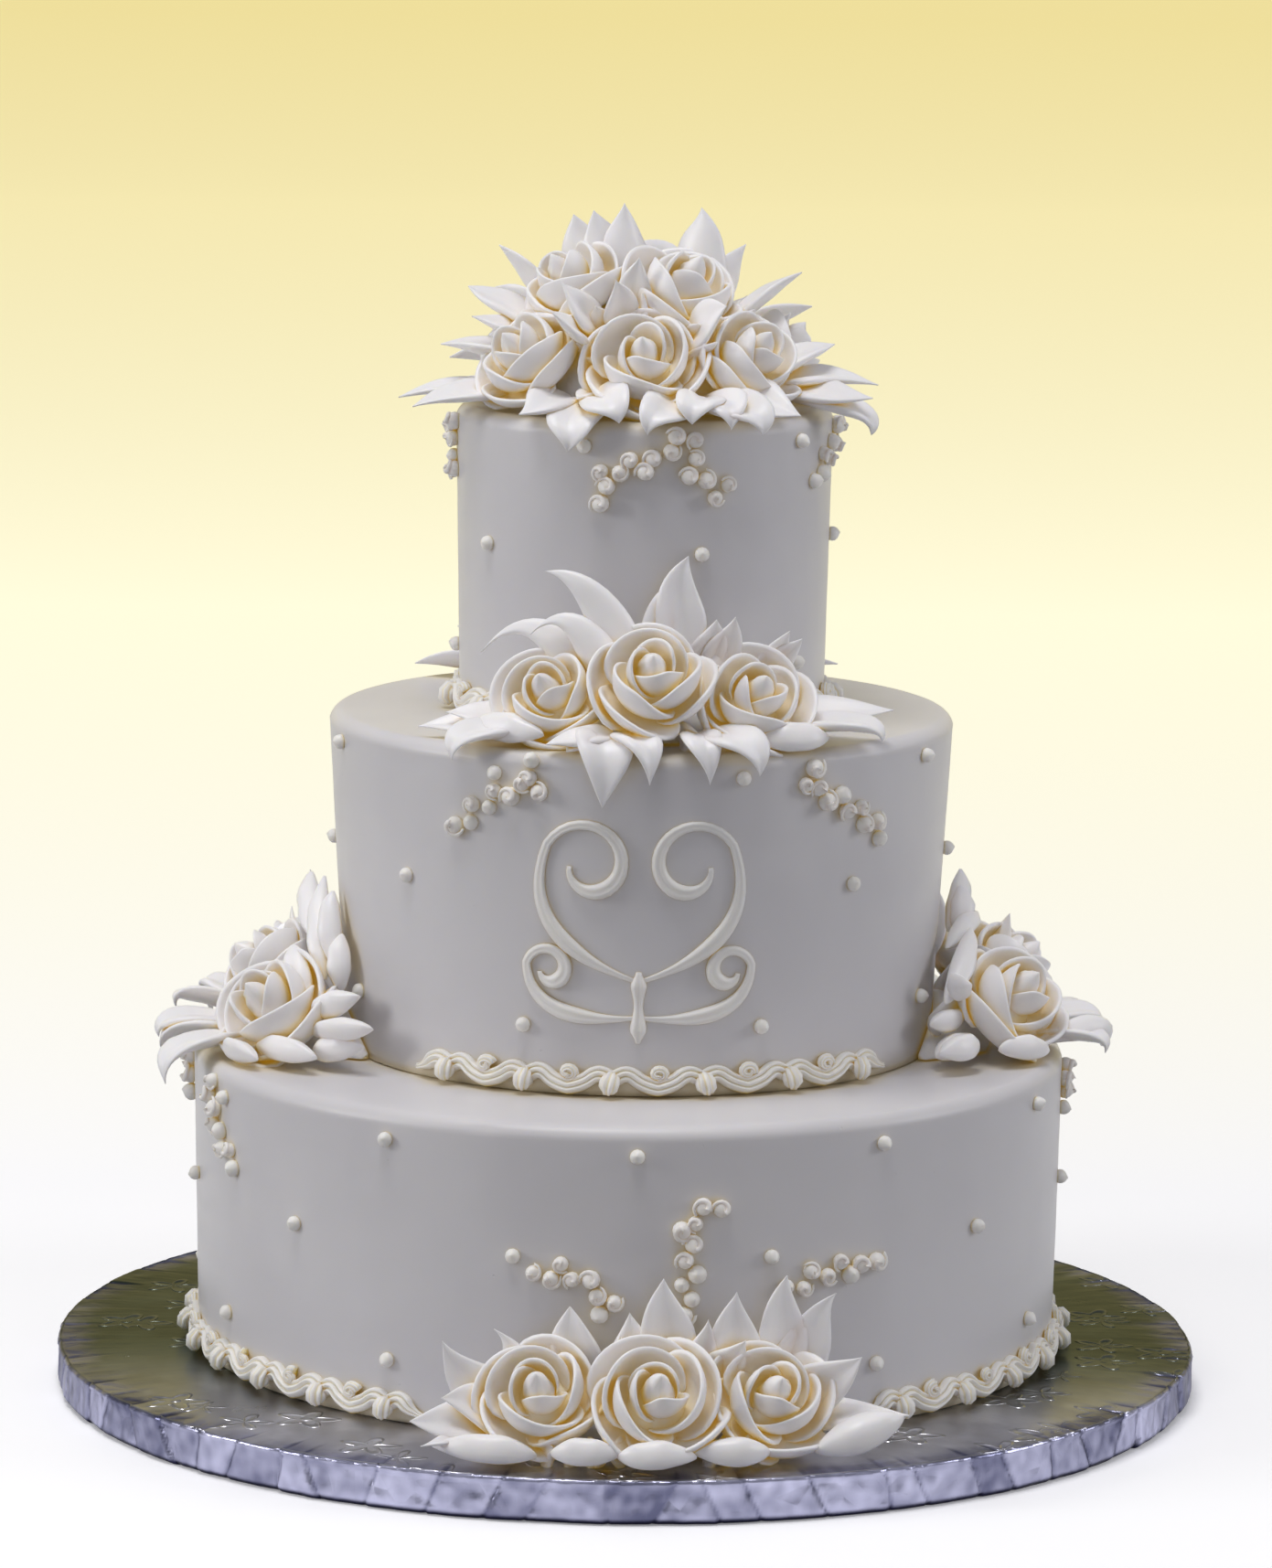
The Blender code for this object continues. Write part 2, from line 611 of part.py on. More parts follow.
def dress_top(name, cake, rng):
    leaves = make_collection(name + "_leaves")
    room = make_collection(name + "_room")
    origin = Vector((TIERS["tier_top"]["shift"], 0, cake_top() + GAP))
    for number, (right, back, up, size) in enumerate(BOUQUET_ROSES, 1):
        offset = Vector((right, back, up)) * MM
        flat = Vector((right, back, 0)).normalized()
        rise = math.radians(ROSE_RISE + BOUQUET_TILT * max(up - 20, 0))
        axis = flat * math.cos(rise) + Vector((0, 0, math.sin(rise)))
        place = (origin + offset, axis, size * MM, rng.uniform(0, math.pi))
        add_rose(name + "_rose_" + str(number).zfill(2), place, cake, room)
    body = add_dome(name + "_leaves", cake)
    roses = [(Vector(rose[:3]) * MM, rose[3] * MM) for rose in BOUQUET_ROSES]
    share, height = BOUQUET_HEART
    rim = TIERS["tier_top"]["top"]
    for right, back, up in BOUQUET_TIPS:
        tip = Vector((right, back, up)) * MM
        flat = Vector((right, back, 0)) * MM
        heart = flat * share + Vector((0, 0, height * MM))
        heart.z = min(heart.z, max(tip.z, LOWEST_ROOT))
        starts = []
        for turn, lift in ROOT_TURNS:
            angle = math.atan2(right, -back) + math.radians(turn)
            aim = Vector((math.sin(angle), -math.cos(angle), 0)) * flat.length
            aim.z = max(tip.z + lift * MM, LOWEST_ROOT)
            starts.append(dome_root(heart, aim))
        start = clear_root(starts, tip, roses)
        length = (tip - start).length
        aside, _, upward = LEAF_FACING
        facing = Vector((aside * right, back, upward * flat.length / MM)).normalized()
        bend = (start + tip) / 2 + facing * length * LEAF_ARCH
        if flat.length > rim and up < 1:
            bend = flat * 1.05 + Vector((0, 0, (DROOP_RISE + up) * MM))
        width = LEAF_BREADTH * min(length, LEAF_WIDEST)
        add_leaf(origin + start, origin + bend, origin + tip, facing, width,
                 LEAF_THICKNESS, leaves)
    tier_clearance(room)
    combine(body, leaves, "UNION")
    combine(body, room, "DIFFERENCE")


def add_border(name, wall, first, last, group):
    # one stretch of wavy piping at a tier's foot, a low ridge that swells at each crest
    floor = tier_floor(wall) + GAP
    radius = TIERS[wall]["base"]
    stretch = math.radians(last - first) * radius
    waves = round(stretch / BORDER_WAVE)
    bm = bmesh.new()
    rows = []
    for step in range(2 * waves + 1):
        bearing = first + (last - first) * step / (2 * waves)
        size = 1.0 - BORDER_DIP * (step % 2)
        top = floor + BORDER_HEIGHT * size
        inner = wall_radius(wall, top) + GAP
        outer = radius + BORDER_DEPTH * (1.0 - BORDER_DIP * ((step + 1) % 2))
        rows.append([
            bm.verts.new(around(wall, bearing, radius + 2 * GAP, floor)),
            bm.verts.new(around(wall, bearing, outer, floor)),
            bm.verts.new(around(wall, bearing, inner + 2 * GAP, top)),
        ])
    for low, high in zip(rows, rows[1:]):
        for side in range(3):
            after = (side + 1) % 3
            bm.faces.new((low[side], low[after], high[after]))
            bm.faces.new((low[side], high[after], high[side]))
    bm.faces.new(rows[0])
    bm.faces.new(rows[-1])
    bmesh.ops.triangulate(bm, faces=bm.faces[:])
    return new_object(name, bm, group)


def scroll_path(shape):
    # a cubic from the stem to the turn, then a shrinking half turn into the eye
    start = Vector(shape["start"])
    swell = Vector(shape["swell"])
    turn = Vector(shape["turn"])
    eye = Vector(shape["eye"])
    points = []
    for step in range(SCROLL_STEPS):
        t = step / SCROLL_STEPS
        points.append(start * (1 - t) ** 2 + swell * 2 * t * (1 - t) + turn * t ** 2)
    arm = turn - eye
    turning = 1 if arm.cross(swell - turn) < 0 else -1
    for step in range(SCROLL_STEPS + 1):
        share = step / SCROLL_STEPS
        angle = turning * math.radians(SCROLL_CURL * share)
        size = 1 - SCROLL_SHRINK * share
        spun = Vector((arm.x * math.cos(angle) - arm.y * math.sin(angle),
                       arm.x * math.sin(angle) + arm.y * math.cos(angle)))
        points.append(eye + spun * size)
    return points


def scroll_stroke(points, mirror, group):
    # a low rounded line of icing along the wall of the middle tier
    bm = bmesh.new()
    rows = []
    for number, point in enumerate(points):
        before = points[max(number - 1, 0)]
        after = points[min(number + 1, len(points) - 1)]
        along = (after - before).normalized()
        across = Vector((-along.y, along.x))
        least, more = SCROLL_TAPER
        share = min(1.0, least + more * min(number, len(points) - 1 - number))
        row = []
        for side, rise in ((-0.5, 0.0), (0.0, 1.0), (0.5, 0.0)):
            spot = point + across * side * share * SCROLL_WIDTH / MM
            height = SCROLL_MIDDLE + spot.y * MM
            radius = wall_radius("tier_middle", height) + 2 * GAP + rise * SCROLL_RISE
            bearing = SCROLL_BEARING + math.degrees(mirror * spot.x * MM / radius)
            row.append(bm.verts.new(around("tier_middle", bearing, radius, height)))
        rows.append(row)
    for low, high in zip(rows, rows[1:]):
        for side in range(3):
            after = (side + 1) % 3
            bm.faces.new((low[side], low[after], high[after]))
            bm.faces.new((low[side], high[after], high[side]))
    bm.faces.new(rows[0])
    bm.faces.new(rows[-1])
    return new_object("stroke", bm, group)


def add_scroll(name, cake):
    strokes = make_collection(name + "_strokes")
    body = None
    for shape in (SCROLL_HORN, SCROLL_TENDRIL):
        points = scroll_path(shape)
        for mirror in (-1, 1):
            if body is None:
                body = scroll_stroke(points, mirror, cake)
                body.name = name
            else:
                scroll_stroke(points, mirror, strokes)
    stem = [Vector((0, height)) for height in SCROLL_STEM]
    scroll_stroke(stem, 1, strokes)
    combine(body, strokes, "UNION")


def bead_places(wall, line):
    # beads along a spray's line, a diameter apart, each a little to one side
    step = BEAD_SPACING * BEAD_RADIUS
    spots = []
    radius = TIERS[wall]["base"]
    flat = [Vector((math.radians(bearing) * radius, height * MM)) for bearing, height in line]
    left = 0.0
    side = 1
    for one, two in zip(flat, flat[1:]):
        run = (two - one).length
        along = (two - one).normalized()
        across = Vector((-along.y, along.x))
        while left <= run:
            spot = one + along * left + across * side * BEAD_RADIUS * BEAD_SWAY
            spots.append((math.degrees(spot.x / radius), spot.y))
            side = -side
            left += step
        left -= run
    return spots


def pearl(wall, bearing, height, radius, sides, group):
    # a half sunk ball with few sides, standing on the wall
    middle = around(wall, bearing, wall_radius(wall, height) + radius * PEARL_SINK, height)
    outward = (around(wall, bearing, 1, 0) - around(wall, bearing, 0, 0)).normalized()
    side = Vector((0, 0, 1)).cross(outward)
    bm = bmesh.new()
    low = []
    high = []
    for step in range(sides):
        angle = 2 * math.pi * (step + 0.5) / sides
        reach = side * math.cos(angle) + Vector((0, 0, 1)) * math.sin(angle)
        low.append(bm.verts.new(middle + reach * radius - outward * radius * PEARL_FOOT))
        high.append(bm.verts.new(middle + reach * radius + outward * radius * PEARL_SHOULDER))
    crown = bm.verts.new(middle + outward * radius)
    for step in range(sides):
        after = (step + 1) % sides
        bm.faces.new((low[step], low[after], high[after], high[step]))
        bm.faces.new((high[step], high[after], crown))
    bm.faces.new(low)
    return new_object("pearl", bm, group)


def add_pearls(wall, cake, neighbours):
    # pearls and spray beads that no flower, leaf or border stands in the way of
    pearls = make_collection(wall + "_pearls")
    wanted = []
    for line in SPRAYS[wall]:
        wanted += [(bearing, height, BEAD_RADIUS, BEAD_SIDES) for bearing, height in
                   bead_places(wall, line)]
    for height, first, apart, count in PEARL_ROWS[wall]:
        for number in range(count):
            bearing = first + apart * number
            wanted.append((bearing, height * MM, PEARL_RADIUS, PEARL_SIDES))
    placed = []
    for bearing, height, radius, sides in wanted:
        spot = around(wall, bearing, wall_radius(wall, height) + radius * PEARL_SINK, height)
        near = [tree.find_nearest(spot)[3] for tree in neighbours]
        between = [(spot - other).length - radius - size for other, size in placed]
        if min(near) < radius + 2 * GAP or min(between, default=1.0) < GAP:
            continue
        placed.append((spot, radius))
        pearl(wall, bearing, height, radius, sides, pearls)
    combine(cake.objects[wall], pearls, "UNION")


def main():
    clear_scene()
    rng = random.Random(7)
    cake = make_collection("wedding_cake")
    half = BOARD_DIAMETER / 2
    board = turned("cake_board", [
        (0.0, BOARD_THICKNESS - GAP),
        (half - BOARD_EDGE_ROUND, BOARD_THICKNESS - GAP),
        (half, BOARD_THICKNESS - GAP - BOARD_EDGE_ROUND),
        (half, 0.0),
        (0.0, 0.0),
    ], BOARD_SIDES, cake)
    freeze(board)
    for name, cluster in CLUSTERS.items():
        dress_cluster(name, cluster, cake, rng)
    dress_top("bouquet", cake, rng)
    for name, (wall, first, last) in BORDERS.items():
        add_border(name, wall, first, last, cake)
    add_scroll("piped_scroll", cake)
    neighbours = [BVHTree.FromObject(obj, bpy.context.evaluated_depsgraph_get())
                  for obj in cake.objects if obj.name != "cake_board"]
    for name, tier in TIERS.items():
        freeze(turned(name, tier_profile(name, 0.0), TIER_SIDES, cake, tier["shift"]))
        add_pearls(name, cake, neighbours)
    for obj in cake.objects:
        if obj.name == "cake_board":
            finish = make_material("foil_board", FOIL, FOIL_ROUGHNESS, 1.0)
        else:
            finish = make_material(obj.name + "_cream", CREAM, CREAM_ROUGHNESS, 0.0)
        obj.data.materials.clear()
        obj.data.materials.append(finish)
        obj.data.shade_smooth()
        obj.data.set_sharp_from_angle(angle=SHARP_ANGLE)


main()
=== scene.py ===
# A wedding cake of three round tiers on a foil covered board: smooth icing, piped roses,
# leaves, beads and borders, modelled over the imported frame. Metres, +Z up, front to -Y.
import random
from math import atan2, cos, degrees, exp, pi, radians, sin, sqrt

import bmesh
import bpy
from mathutils import Matrix, Vector, noise


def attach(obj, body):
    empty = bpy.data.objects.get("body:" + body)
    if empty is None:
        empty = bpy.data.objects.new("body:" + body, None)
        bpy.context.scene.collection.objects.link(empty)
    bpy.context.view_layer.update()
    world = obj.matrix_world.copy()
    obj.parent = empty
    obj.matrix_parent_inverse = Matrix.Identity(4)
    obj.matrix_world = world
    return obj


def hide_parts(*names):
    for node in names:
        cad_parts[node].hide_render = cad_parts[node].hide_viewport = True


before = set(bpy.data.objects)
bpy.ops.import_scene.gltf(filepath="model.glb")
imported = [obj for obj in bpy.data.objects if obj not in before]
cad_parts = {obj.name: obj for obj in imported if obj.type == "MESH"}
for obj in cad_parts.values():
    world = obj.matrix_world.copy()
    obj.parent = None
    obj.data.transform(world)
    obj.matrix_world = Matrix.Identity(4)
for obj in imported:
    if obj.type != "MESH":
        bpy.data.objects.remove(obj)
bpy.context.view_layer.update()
print("frame loaded:", len(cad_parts), "nodes")

mm = 0.001
up = Vector((0, 0, 1))
rng = random.Random(23)


def vary(reach):
    return rng.uniform(-reach, reach)


def steps(count):
    return [number / count for number in range(count + 1)]


def circle(count):
    return [2 * pi * number / count for number in range(count)]


def spin(one, two, angle):
    # what lies at an angle from one on the way to two
    return one * cos(angle) + two * sin(angle)


def show(name, data):
    made = bpy.data.objects.new(name, data)
    bpy.context.scene.collection.objects.link(made)
    return made


# Camera and light

camera = {
    "distance": 2.6415, "height": 0.6710, "lens": 154.6, "sensor": 36.0, "pitch": 0.16128,
    "yaw": 0.0007, "roll": 0.01197,
}


def placeCamera():
    pitch, yaw, roll = camera["pitch"], camera["yaw"], camera["roll"]
    ahead = Vector((sin(yaw) * cos(pitch), cos(yaw) * cos(pitch), -sin(pitch)))
    level = Vector((cos(yaw), -sin(yaw), 0))
    upright = level.cross(ahead)
    axes = spin(level, upright, roll), spin(upright, -level, roll), -ahead
    data = bpy.data.cameras.new("camera")
    data.sensor_fit = "VERTICAL"
    data.sensor_height = camera["sensor"]
    data.lens = camera["lens"]
    eye = show("camera", data)
    turn = Matrix(axes).transposed().to_4x4()
    eye.matrix_world = Matrix.Translation((0, -camera["distance"], camera["height"])) @ turn
    bpy.context.scene.camera = eye


lights = {
    "overhead": {"place": (-0.35, -0.55, 3.2), "size": 1.5, "power": 46, "tint": (1.0, 0.99, 0.985)},
    "leftSide": {"place": (-2.2, -0.55, 1.0), "size": 0.9, "power": 16, "tint": (1.0, 0.99, 0.97)},
    "rightSide": {"place": (2.1, -0.25, 0.9), "size": 0.9, "power": 10, "tint": (0.98, 0.98, 1.0)},
    "front": {"place": (-0.8, -2.6, 1.6), "size": 1.0, "power": 2.6, "tint": (0.98, 0.97, 1.0)},
}
room = {"aim": (0, 0, 0.22), "tint": (0.95, 0.95, 1.0), "strength": 0.27}


def placeLights():
    for name, light in lights.items():
        data = bpy.data.lights.new(name, "AREA")
        data.shape = "DISK"
        data.size = light["size"]
        data.energy = light["power"]
        data.color = light["tint"]
        lamp = show(name, data)
        place = Vector(light["place"])
        lamp.location = place
        lamp.rotation_euler = (Vector(room["aim"]) - place).to_track_quat("-Z", "Y").to_euler()
    world = bpy.data.worlds.new("studio")
    world.use_nodes = True
    sky = world.node_tree.nodes["Background"]
    sky.inputs["Color"].default_value = (*room["tint"], 1)
    sky.inputs["Strength"].default_value = room["strength"]
    bpy.context.scene.world = world
    bpy.context.scene.view_settings.view_transform = "Standard"


# Materials

class Wire:
    # a socket of a material; a sum on it adds the node that works it out
    def __init__(self, finish, socket):
        self.finish = finish
        self.socket = socket

    def sum(self, operation, one, two):
        return self.finish.node("ShaderNodeMath", {"operation": operation}, {0: one, 1: two})

    def __add__(self, other):
        return self.sum("ADD", self, other)

    def __sub__(self, other):
        return self.sum("SUBTRACT", self, other)

    def __rsub__(self, other):
        return self.sum("SUBTRACT", other, self)

    def __mul__(self, other):
        return self.sum("MULTIPLY", self, other)

    def __truediv__(self, other):
        return self.sum("DIVIDE", self, other)

    __radd__ = __add__
    __rmul__ = __mul__


class Finish:
    # a material, and the one method that adds nodes to it
    def __init__(self, name, fixed):
        self.material = bpy.data.materials.new(name)
        self.material.use_nodes = True
        self.tree = self.material.node_tree
        self.shader = self.tree.nodes["Principled BSDF"]
        for socket, value in fixed.items():
            self.shader.inputs[socket].default_value = value

    def node(self, kind, settings, values, output=0):
        made = self.tree.nodes.new(kind)
        for key, value in settings.items():
            setattr(made, key, value)
        for key, value in values.items():
            self.feed(made.inputs[key], value)
        return Wire(self, made.outputs[output])

    def feed(self, socket, value):
        if isinstance(value, Wire):
            self.tree.links.new(value.socket, socket)
        else:
            socket.default_value = value

    def set(self, name, value):
        self.feed(self.shader.inputs[name], value)

    def place(self):
        return self.node("ShaderNodeTexCoord", {}, {}, "Object")

    def depth(self):
        return self.node("ShaderNodeAttribute", {"attribute_name": "depth"}, {}, "Fac")

    def axis(self, place, letter):
        return self.node("ShaderNodeSeparateXYZ", {}, {0: place}, letter)

    def vector(self, operation, one, two=(0, 0, 0), output=0):
        return self.node("ShaderNodeVectorMath", {"operation": operation}, {0: one, 1: two}, output)

    def noise(self, place, scale, detail=3.0):
        values = {"Vector": place, "Scale": scale, "Detail": detail}
        return self.node("ShaderNodeTexNoise", {}, values)

    def cells(self, place, scale, feature="F1", output=0):
        values = {"Vector": place, "Scale": scale}
        return self.node("ShaderNodeTexVoronoi", {"feature": feature}, values, output)

    def ramp(self, value, low, high):
        settings = {"interpolation_type": "SMOOTHSTEP"}
        return self.node("ShaderNodeMapRange", settings, {"Value": value, "From Min": low, "From Max": high})

    def blend(self, share, one, two):
        colours = [(*colour, 1) if isinstance(colour, tuple) else colour for colour in (one, two)]
        return self.node("ShaderNodeMix", {"data_type": "RGBA"}, {0: share, 6: colours[0], 7: colours[1]}, 2)

    def space(self, reach, shut, clear):
        # 0 in a crevice, 1 where nothing stands close by; it masks painted shade in crevices
        seen = self.node("ShaderNodeAmbientOcclusion", {"samples": 4}, {"Distance": reach}, "AO")
        return self.ramp(seen, shut, clear)

    def bump(self, height, distance, below=None):
        values = {"Height": height, "Distance": distance}
        if below:
            values["Normal"] = below
        return self.node("ShaderNodeBump", {}, values)

    def grain(self, look, below, detail=2.0):
        return self.bump(self.noise(self.place(), look["grainScale"], detail), look["grainHeight"], below)


creamSockets = {
    "Specular IOR Level": 0.42, "Subsurface Weight": 0.25, "Subsurface Radius": (1.0, 0.82, 0.50),
    "Subsurface Scale": 0.005,
}
wallLook = {
    "tones": ((0.655, 0.64, 0.66), (0.71, 0.695, 0.71)), "patches": 9.0, "roughness": 0.40,
    "streakScale": (7.0, 7.0, 95.0), "streakHeight": 0.00012, "grainScale": 900.0,
    "grainHeight": 0.00002, "holeScale": 70.0, "holeSize": 0.045, "holeDepth": 0.00015,
    # nookShade is the painted shade in the nooks, and how far it reaches
    "nookShade": (0.72, 0.64, 0.48), "nookShadeReach": 0.013,
}


def wallFinish(name):
    # smoothed buttercream: faint level streaks of the scraper, a few pin holes, and a warm painted shade in
    # the nooks where other icing stands close
    look = wallLook
    cream = Finish(name, creamSockets)
    place = cream.place()
    plain = cream.blend(cream.ramp(cream.noise(place, look["patches"]), 0.35, 0.65), *look["tones"])
    # painted shade: the wall turns warm and darker where other icing stands close by
    cream.set("Base Color", cream.blend(cream.space(look["nookShadeReach"], 0.30, 0.85), look["nookShade"], plain))
    streaks = cream.noise(cream.vector("MULTIPLY", place, look["streakScale"]), 1.0, 4.0)
    cream.set("Roughness", look["roughness"] + (streaks - 0.5) * 0.16)
    below = cream.grain(look, cream.bump(streaks, look["streakHeight"]))
    holes = cream.ramp(cream.cells(place, look["holeScale"]), 0.0, look["holeSize"])
    cream.set("Normal", cream.bump(holes, look["holeDepth"], below))
    return cream.material


# deep and warmShade are painted shade where the cream is deep; hollowShade and glow are painted shade and a
# painted glow in the hollows
petalLook = {
    "deep": (0.90, 0.68, 0.24), "warmShade": (0.92, 0.86, 0.72), "pale": (0.93, 0.91, 0.915),
    "deepShadeUntil": 0.10, "warmShadeUntil": 0.42, "hollowReach": 0.008, "hollowShade": (0.86, 0.62, 0.11),
    "glow": (0.90, 0.62, 0.05), "roughness": 0.36, "flowScale": 160.0, "flowHeight": 0.00018,
    "grainScale": 1100.0, "grainHeight": 0.000018,
}
pipingLook = dict(petalLook, deep=(0.88, 0.77, 0.50), warmShade=(0.90, 0.83, 0.64), pale=(0.91, 0.885, 0.84),
                  hollowReach=0.0045, roughness=0.42)


def pipedFinish(name, look):
    # piped buttercream with painted shade: ochre where the piece is deep, warm cream above that, pale
    # towards its rims; and in its hollows a painted ochre shade and a faint painted glow
    # a faint emission, for the painted glow in the hollows
    cream = Finish(name, dict(creamSockets, **{"Emission Strength": 0.08}))
    drift = cream.noise(cream.place(), look["flowScale"], 2.0)
    depth = cream.depth() + (drift - 0.5) * 0.12
    # painted shade: ochre where the depth is low, warm cream above it, pale towards the rims
    warmShade = cream.blend(cream.ramp(depth, 0.0, look["deepShadeUntil"]), look["deep"], look["warmShade"])
    plain = cream.blend(cream.ramp(depth, look["deepShadeUntil"], look["warmShadeUntil"]), warmShade, look["pale"])
    # painted shade in the hollows, and a painted glow there through the emission
    space = cream.space(look["hollowReach"], 0.02, 0.34)
    cream.set("Base Color", cream.blend(space, look["hollowShade"], plain))
    cream.set("Emission Color", cream.blend(space, look["glow"], (0.0, 0.0, 0.0)))
    cream.set("Roughness", look["roughness"] + (drift - 0.5) * 0.2)
    cream.set("Normal", cream.grain(look, cream.bump(drift, look["flowHeight"])))
    return cream.material


foilLook = {
    # the dark and the light tone of the lid, of the painted reflection on its flanks and of the side
    "lid": ((0.65, 0.65, 0.70), (0.90, 0.90, 0.96)),
    "flank": ((0.085, 0.105, 0.080), (0.160, 0.188, 0.145)),
    "side": ((0.12, 0.125, 0.21), (0.57, 0.575, 0.76)),
    # foot is a painted contact shadow, near black, along the bottom of the side
    "embossed": (0.60, 0.61, 0.60), "foot": (0.03, 0.03, 0.07),
    # where the painted reflection on the lid's flanks begins and ends, from front to back
    "reflectionFront": (-0.165, -0.02), "reflectionBack": (0.12, 0.18),
    "motifScale": 30.0, "petals": 5.0, "petalReach": 0.0098, "petalDip": 0.34, "motifHeight": 0.0011,
    "facetScale": 90.0, "facetHeight": 0.0011, "grainScale": 420.0, "grainHeight": 0.00006,
}


def foilFinish(name):
    # foil: embossed five petalled flowers on top, bare and creased round the side; a painted reflection
    # darkens the flanks of the top, and painted shade lies in the side's creases and a painted shadow at its
    # foot
    look = foilLook
    foil = Finish(name, {"Metallic": 1.0, "Specular Tint": (0.5, 0.5, 0.5, 1)})
    place = foil.place()
    level = foil.axis(place, "Z")
    back = foil.axis(place, "Y")
    top = foil.ramp(level, 0.0168, 0.0175)
    flat = foil.vector("MULTIPLY", place, (1.0, 1.0, 0.0))
    away = foil.vector("SUBTRACT", flat, foil.cells(flat, look["motifScale"], output="Position"))
    reach = foil.vector("LENGTH", away, output="Value")
    angle = reach.sum("ARCTAN2", foil.axis(away, "Y"), foil.axis(away, "X"))
    lobes = reach.sum("COSINE", angle * look["petals"], 0.0)
    share = reach / ((lobes * look["petalDip"] + 1.0) * look["petalReach"])
    petal = foil.ramp(share, 1.05, 0.9) - foil.ramp(share, 0.9, 0.55) * 0.7
    heart = foil.ramp(reach, look["petalReach"] * 0.28, look["petalReach"] * 0.16)
    squat = foil.vector("MULTIPLY", place, (1.0, 1.0, 0.75))
    facets = foil.cells(squat, look["facetScale"], "DISTANCE_TO_EDGE")
    haze = foil.noise(place, 26.0, 4.0)
    shine = foil.ramp(haze, 0.36, 0.64)
    # the side's tone: random for each panel, with painted shade in the creases and on the panels as they
    # lean
    side = foil.blend(foil.depth() * 0.75 + shine * 0.3, *look["side"])
    # painted contact shadow: the side turns near black in its lowest 3 mm
    side = foil.blend(foil.ramp(level, 0.0008, 0.0032), look["foot"], side)
    # painted reflection: dark olive on the lid, in a band from front to back that shows on its left and
    # right
    flank = foil.ramp(back, *look["reflectionFront"]) - foil.ramp(back, *look["reflectionBack"])
    lid = foil.blend(flank, foil.blend(shine, *look["lid"]), foil.blend(shine, *look["flank"]))
    lid = foil.blend(petal * 0.16, lid, look["embossed"])
    foil.set("Base Color", foil.blend(top, side, lid))
    foil.set("Roughness", 0.22 + haze * 0.2)
    below = foil.bump(facets * (1.0 - top), look["facetHeight"])
    below = foil.bump((petal + heart) * top, look["motifHeight"], below)
    foil.set("Normal", foil.grain(look, below, 3.0))
    return foil.material


floorLook = {
    "near": (0.95, 0.95, 0.96), "far": (0.30, 0.26, 0.12), "nearGlow": (0.19, 0.19, 0.195),
    "middleGlow": (0.72, 0.69, 0.47), "farGlow": (0.76, 0.65, 0.29),
    "rise": 0.671,         # the yellow deepens with the slope of this rise over the way back
    "run": 2.64,
    "start": 0.225,        # slope where it starts, and how much further down it is full
    "reach": 0.177,
}


def floorFinish(name):
    # white and bright under the cake, turning pale yellow towards the back and up
    look = floorLook
    floor = Finish(name, {"Roughness": 0.7, "Specular IOR Level": 0.2, "Emission Strength": 1.0})
    place = floor.place()
    back = floor.axis(place, "Y")
    slope = (look["rise"] - floor.axis(place, "Z")) / (back.sum("MAXIMUM", back, 0.0) + look["run"])
    share = (look["start"] - slope) / look["reach"]
    floor.set("Base Color", floor.blend(share, look["near"], look["far"]))
    beyond = floor.blend(share * 2.0 - 1.0, look["middleGlow"], look["farGlow"])
    floor.set("Emission Color", floor.blend(share * 2.0, look["nearGlow"], beyond))
    return floor.material


# Shapes

class Icing:
    # points, faces and the depth of each point, gathered for one piece; the cream finishes paint shade where
    # the depth is low, and the foil takes its side's tone from it
    def __init__(self):
        self.points = []
        self.depths = []
        self.faces = []

    def loft(self, rings):
        # rings of (point, depth), each joined to the next, and both ends shut
        first = len(self.points)
        count = len(rings[0])
        for ring in rings:
            self.points += [tuple(point) for point, _ in ring]
            self.depths += [depth for _, depth in ring]
        last = len(self.points) - count
        for low in range(first, last, count):
            for side in range(count):
                after = (side + 1) % count
                self.faces.append((low + side, low + after, low + count + after, low + count + side))
        self.faces.append(tuple(range(first + count - 1, first - 1, -1)))
        self.faces.append(tuple(range(last, last + count)))

    def serve(self, name, node, finish):
        mesh = bpy.data.meshes.new(name)
        mesh.from_pydata(self.points, [], self.faces)
        mesh.attributes.new("depth", "FLOAT", "POINT").data.foreach_set("value", self.depths)
        bm = bmesh.new()
        bm.from_mesh(mesh)
        bmesh.ops.recalc_face_normals(bm, faces=bm.faces[:])
        bm.to_mesh(mesh)
        bm.free()
        mesh.materials.append(finish)
        mesh.shade_smooth()
        piece = show(name, mesh)
        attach(piece, "root")
        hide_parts(node)


def ease(value):
    value = min(max(value, 0.0), 1.0)
    return value * value * (3 - 2 * value)


def bezier(start, bend, end, t):
    return start * (1 - t) ** 2 + bend * 2 * t * (1 - t) + end * t ** 2


def bezierWay(start, bend, end, t):
    return ((bend - start) * (1 - t) + (end - bend) * t).normalized()


def headings(points):
    # the way that a line runs at each of its points
    ends = zip(points[:1] + points[:-1], points[1:] + points[-1:])
    return [(after - before).normalized() for before, after in ends]


# Tiers

boardTop = 18.0 * mm
boardRadius = 228.6 * mm
tiers = {
    "bottom": {"base": 171.5, "top": 173.9, "height": 120.9, "shift": 0.0},
    "middle": {"base": 117.3, "top": 124.0, "height": 133.1, "shift": 3.7},
    "top": {"base": 72.2, "top": 75.0, "height": 121.2, "shift": 3.6},
}
tierShape = {"segments": 300, "rows": 44, "rimRound": 6.0, "rimSteps": 7, "sway": 0.45, "ripple": 0.12}
# Marks in the icing: tier, bearing, height, how far they reach along and up, depth.
marks = (
    ("middle", 14.5, 253.0, 7.0, 0.9, 0.7),
    ("middle", 11.0, 166.5, 1.6, 1.2, 0.9),
    ("middle", -3.6, 160.5, 1.2, 1.0, 0.6),
    ("bottom", -18.5, 136.0, 2.6, 1.8, 1.3),
)


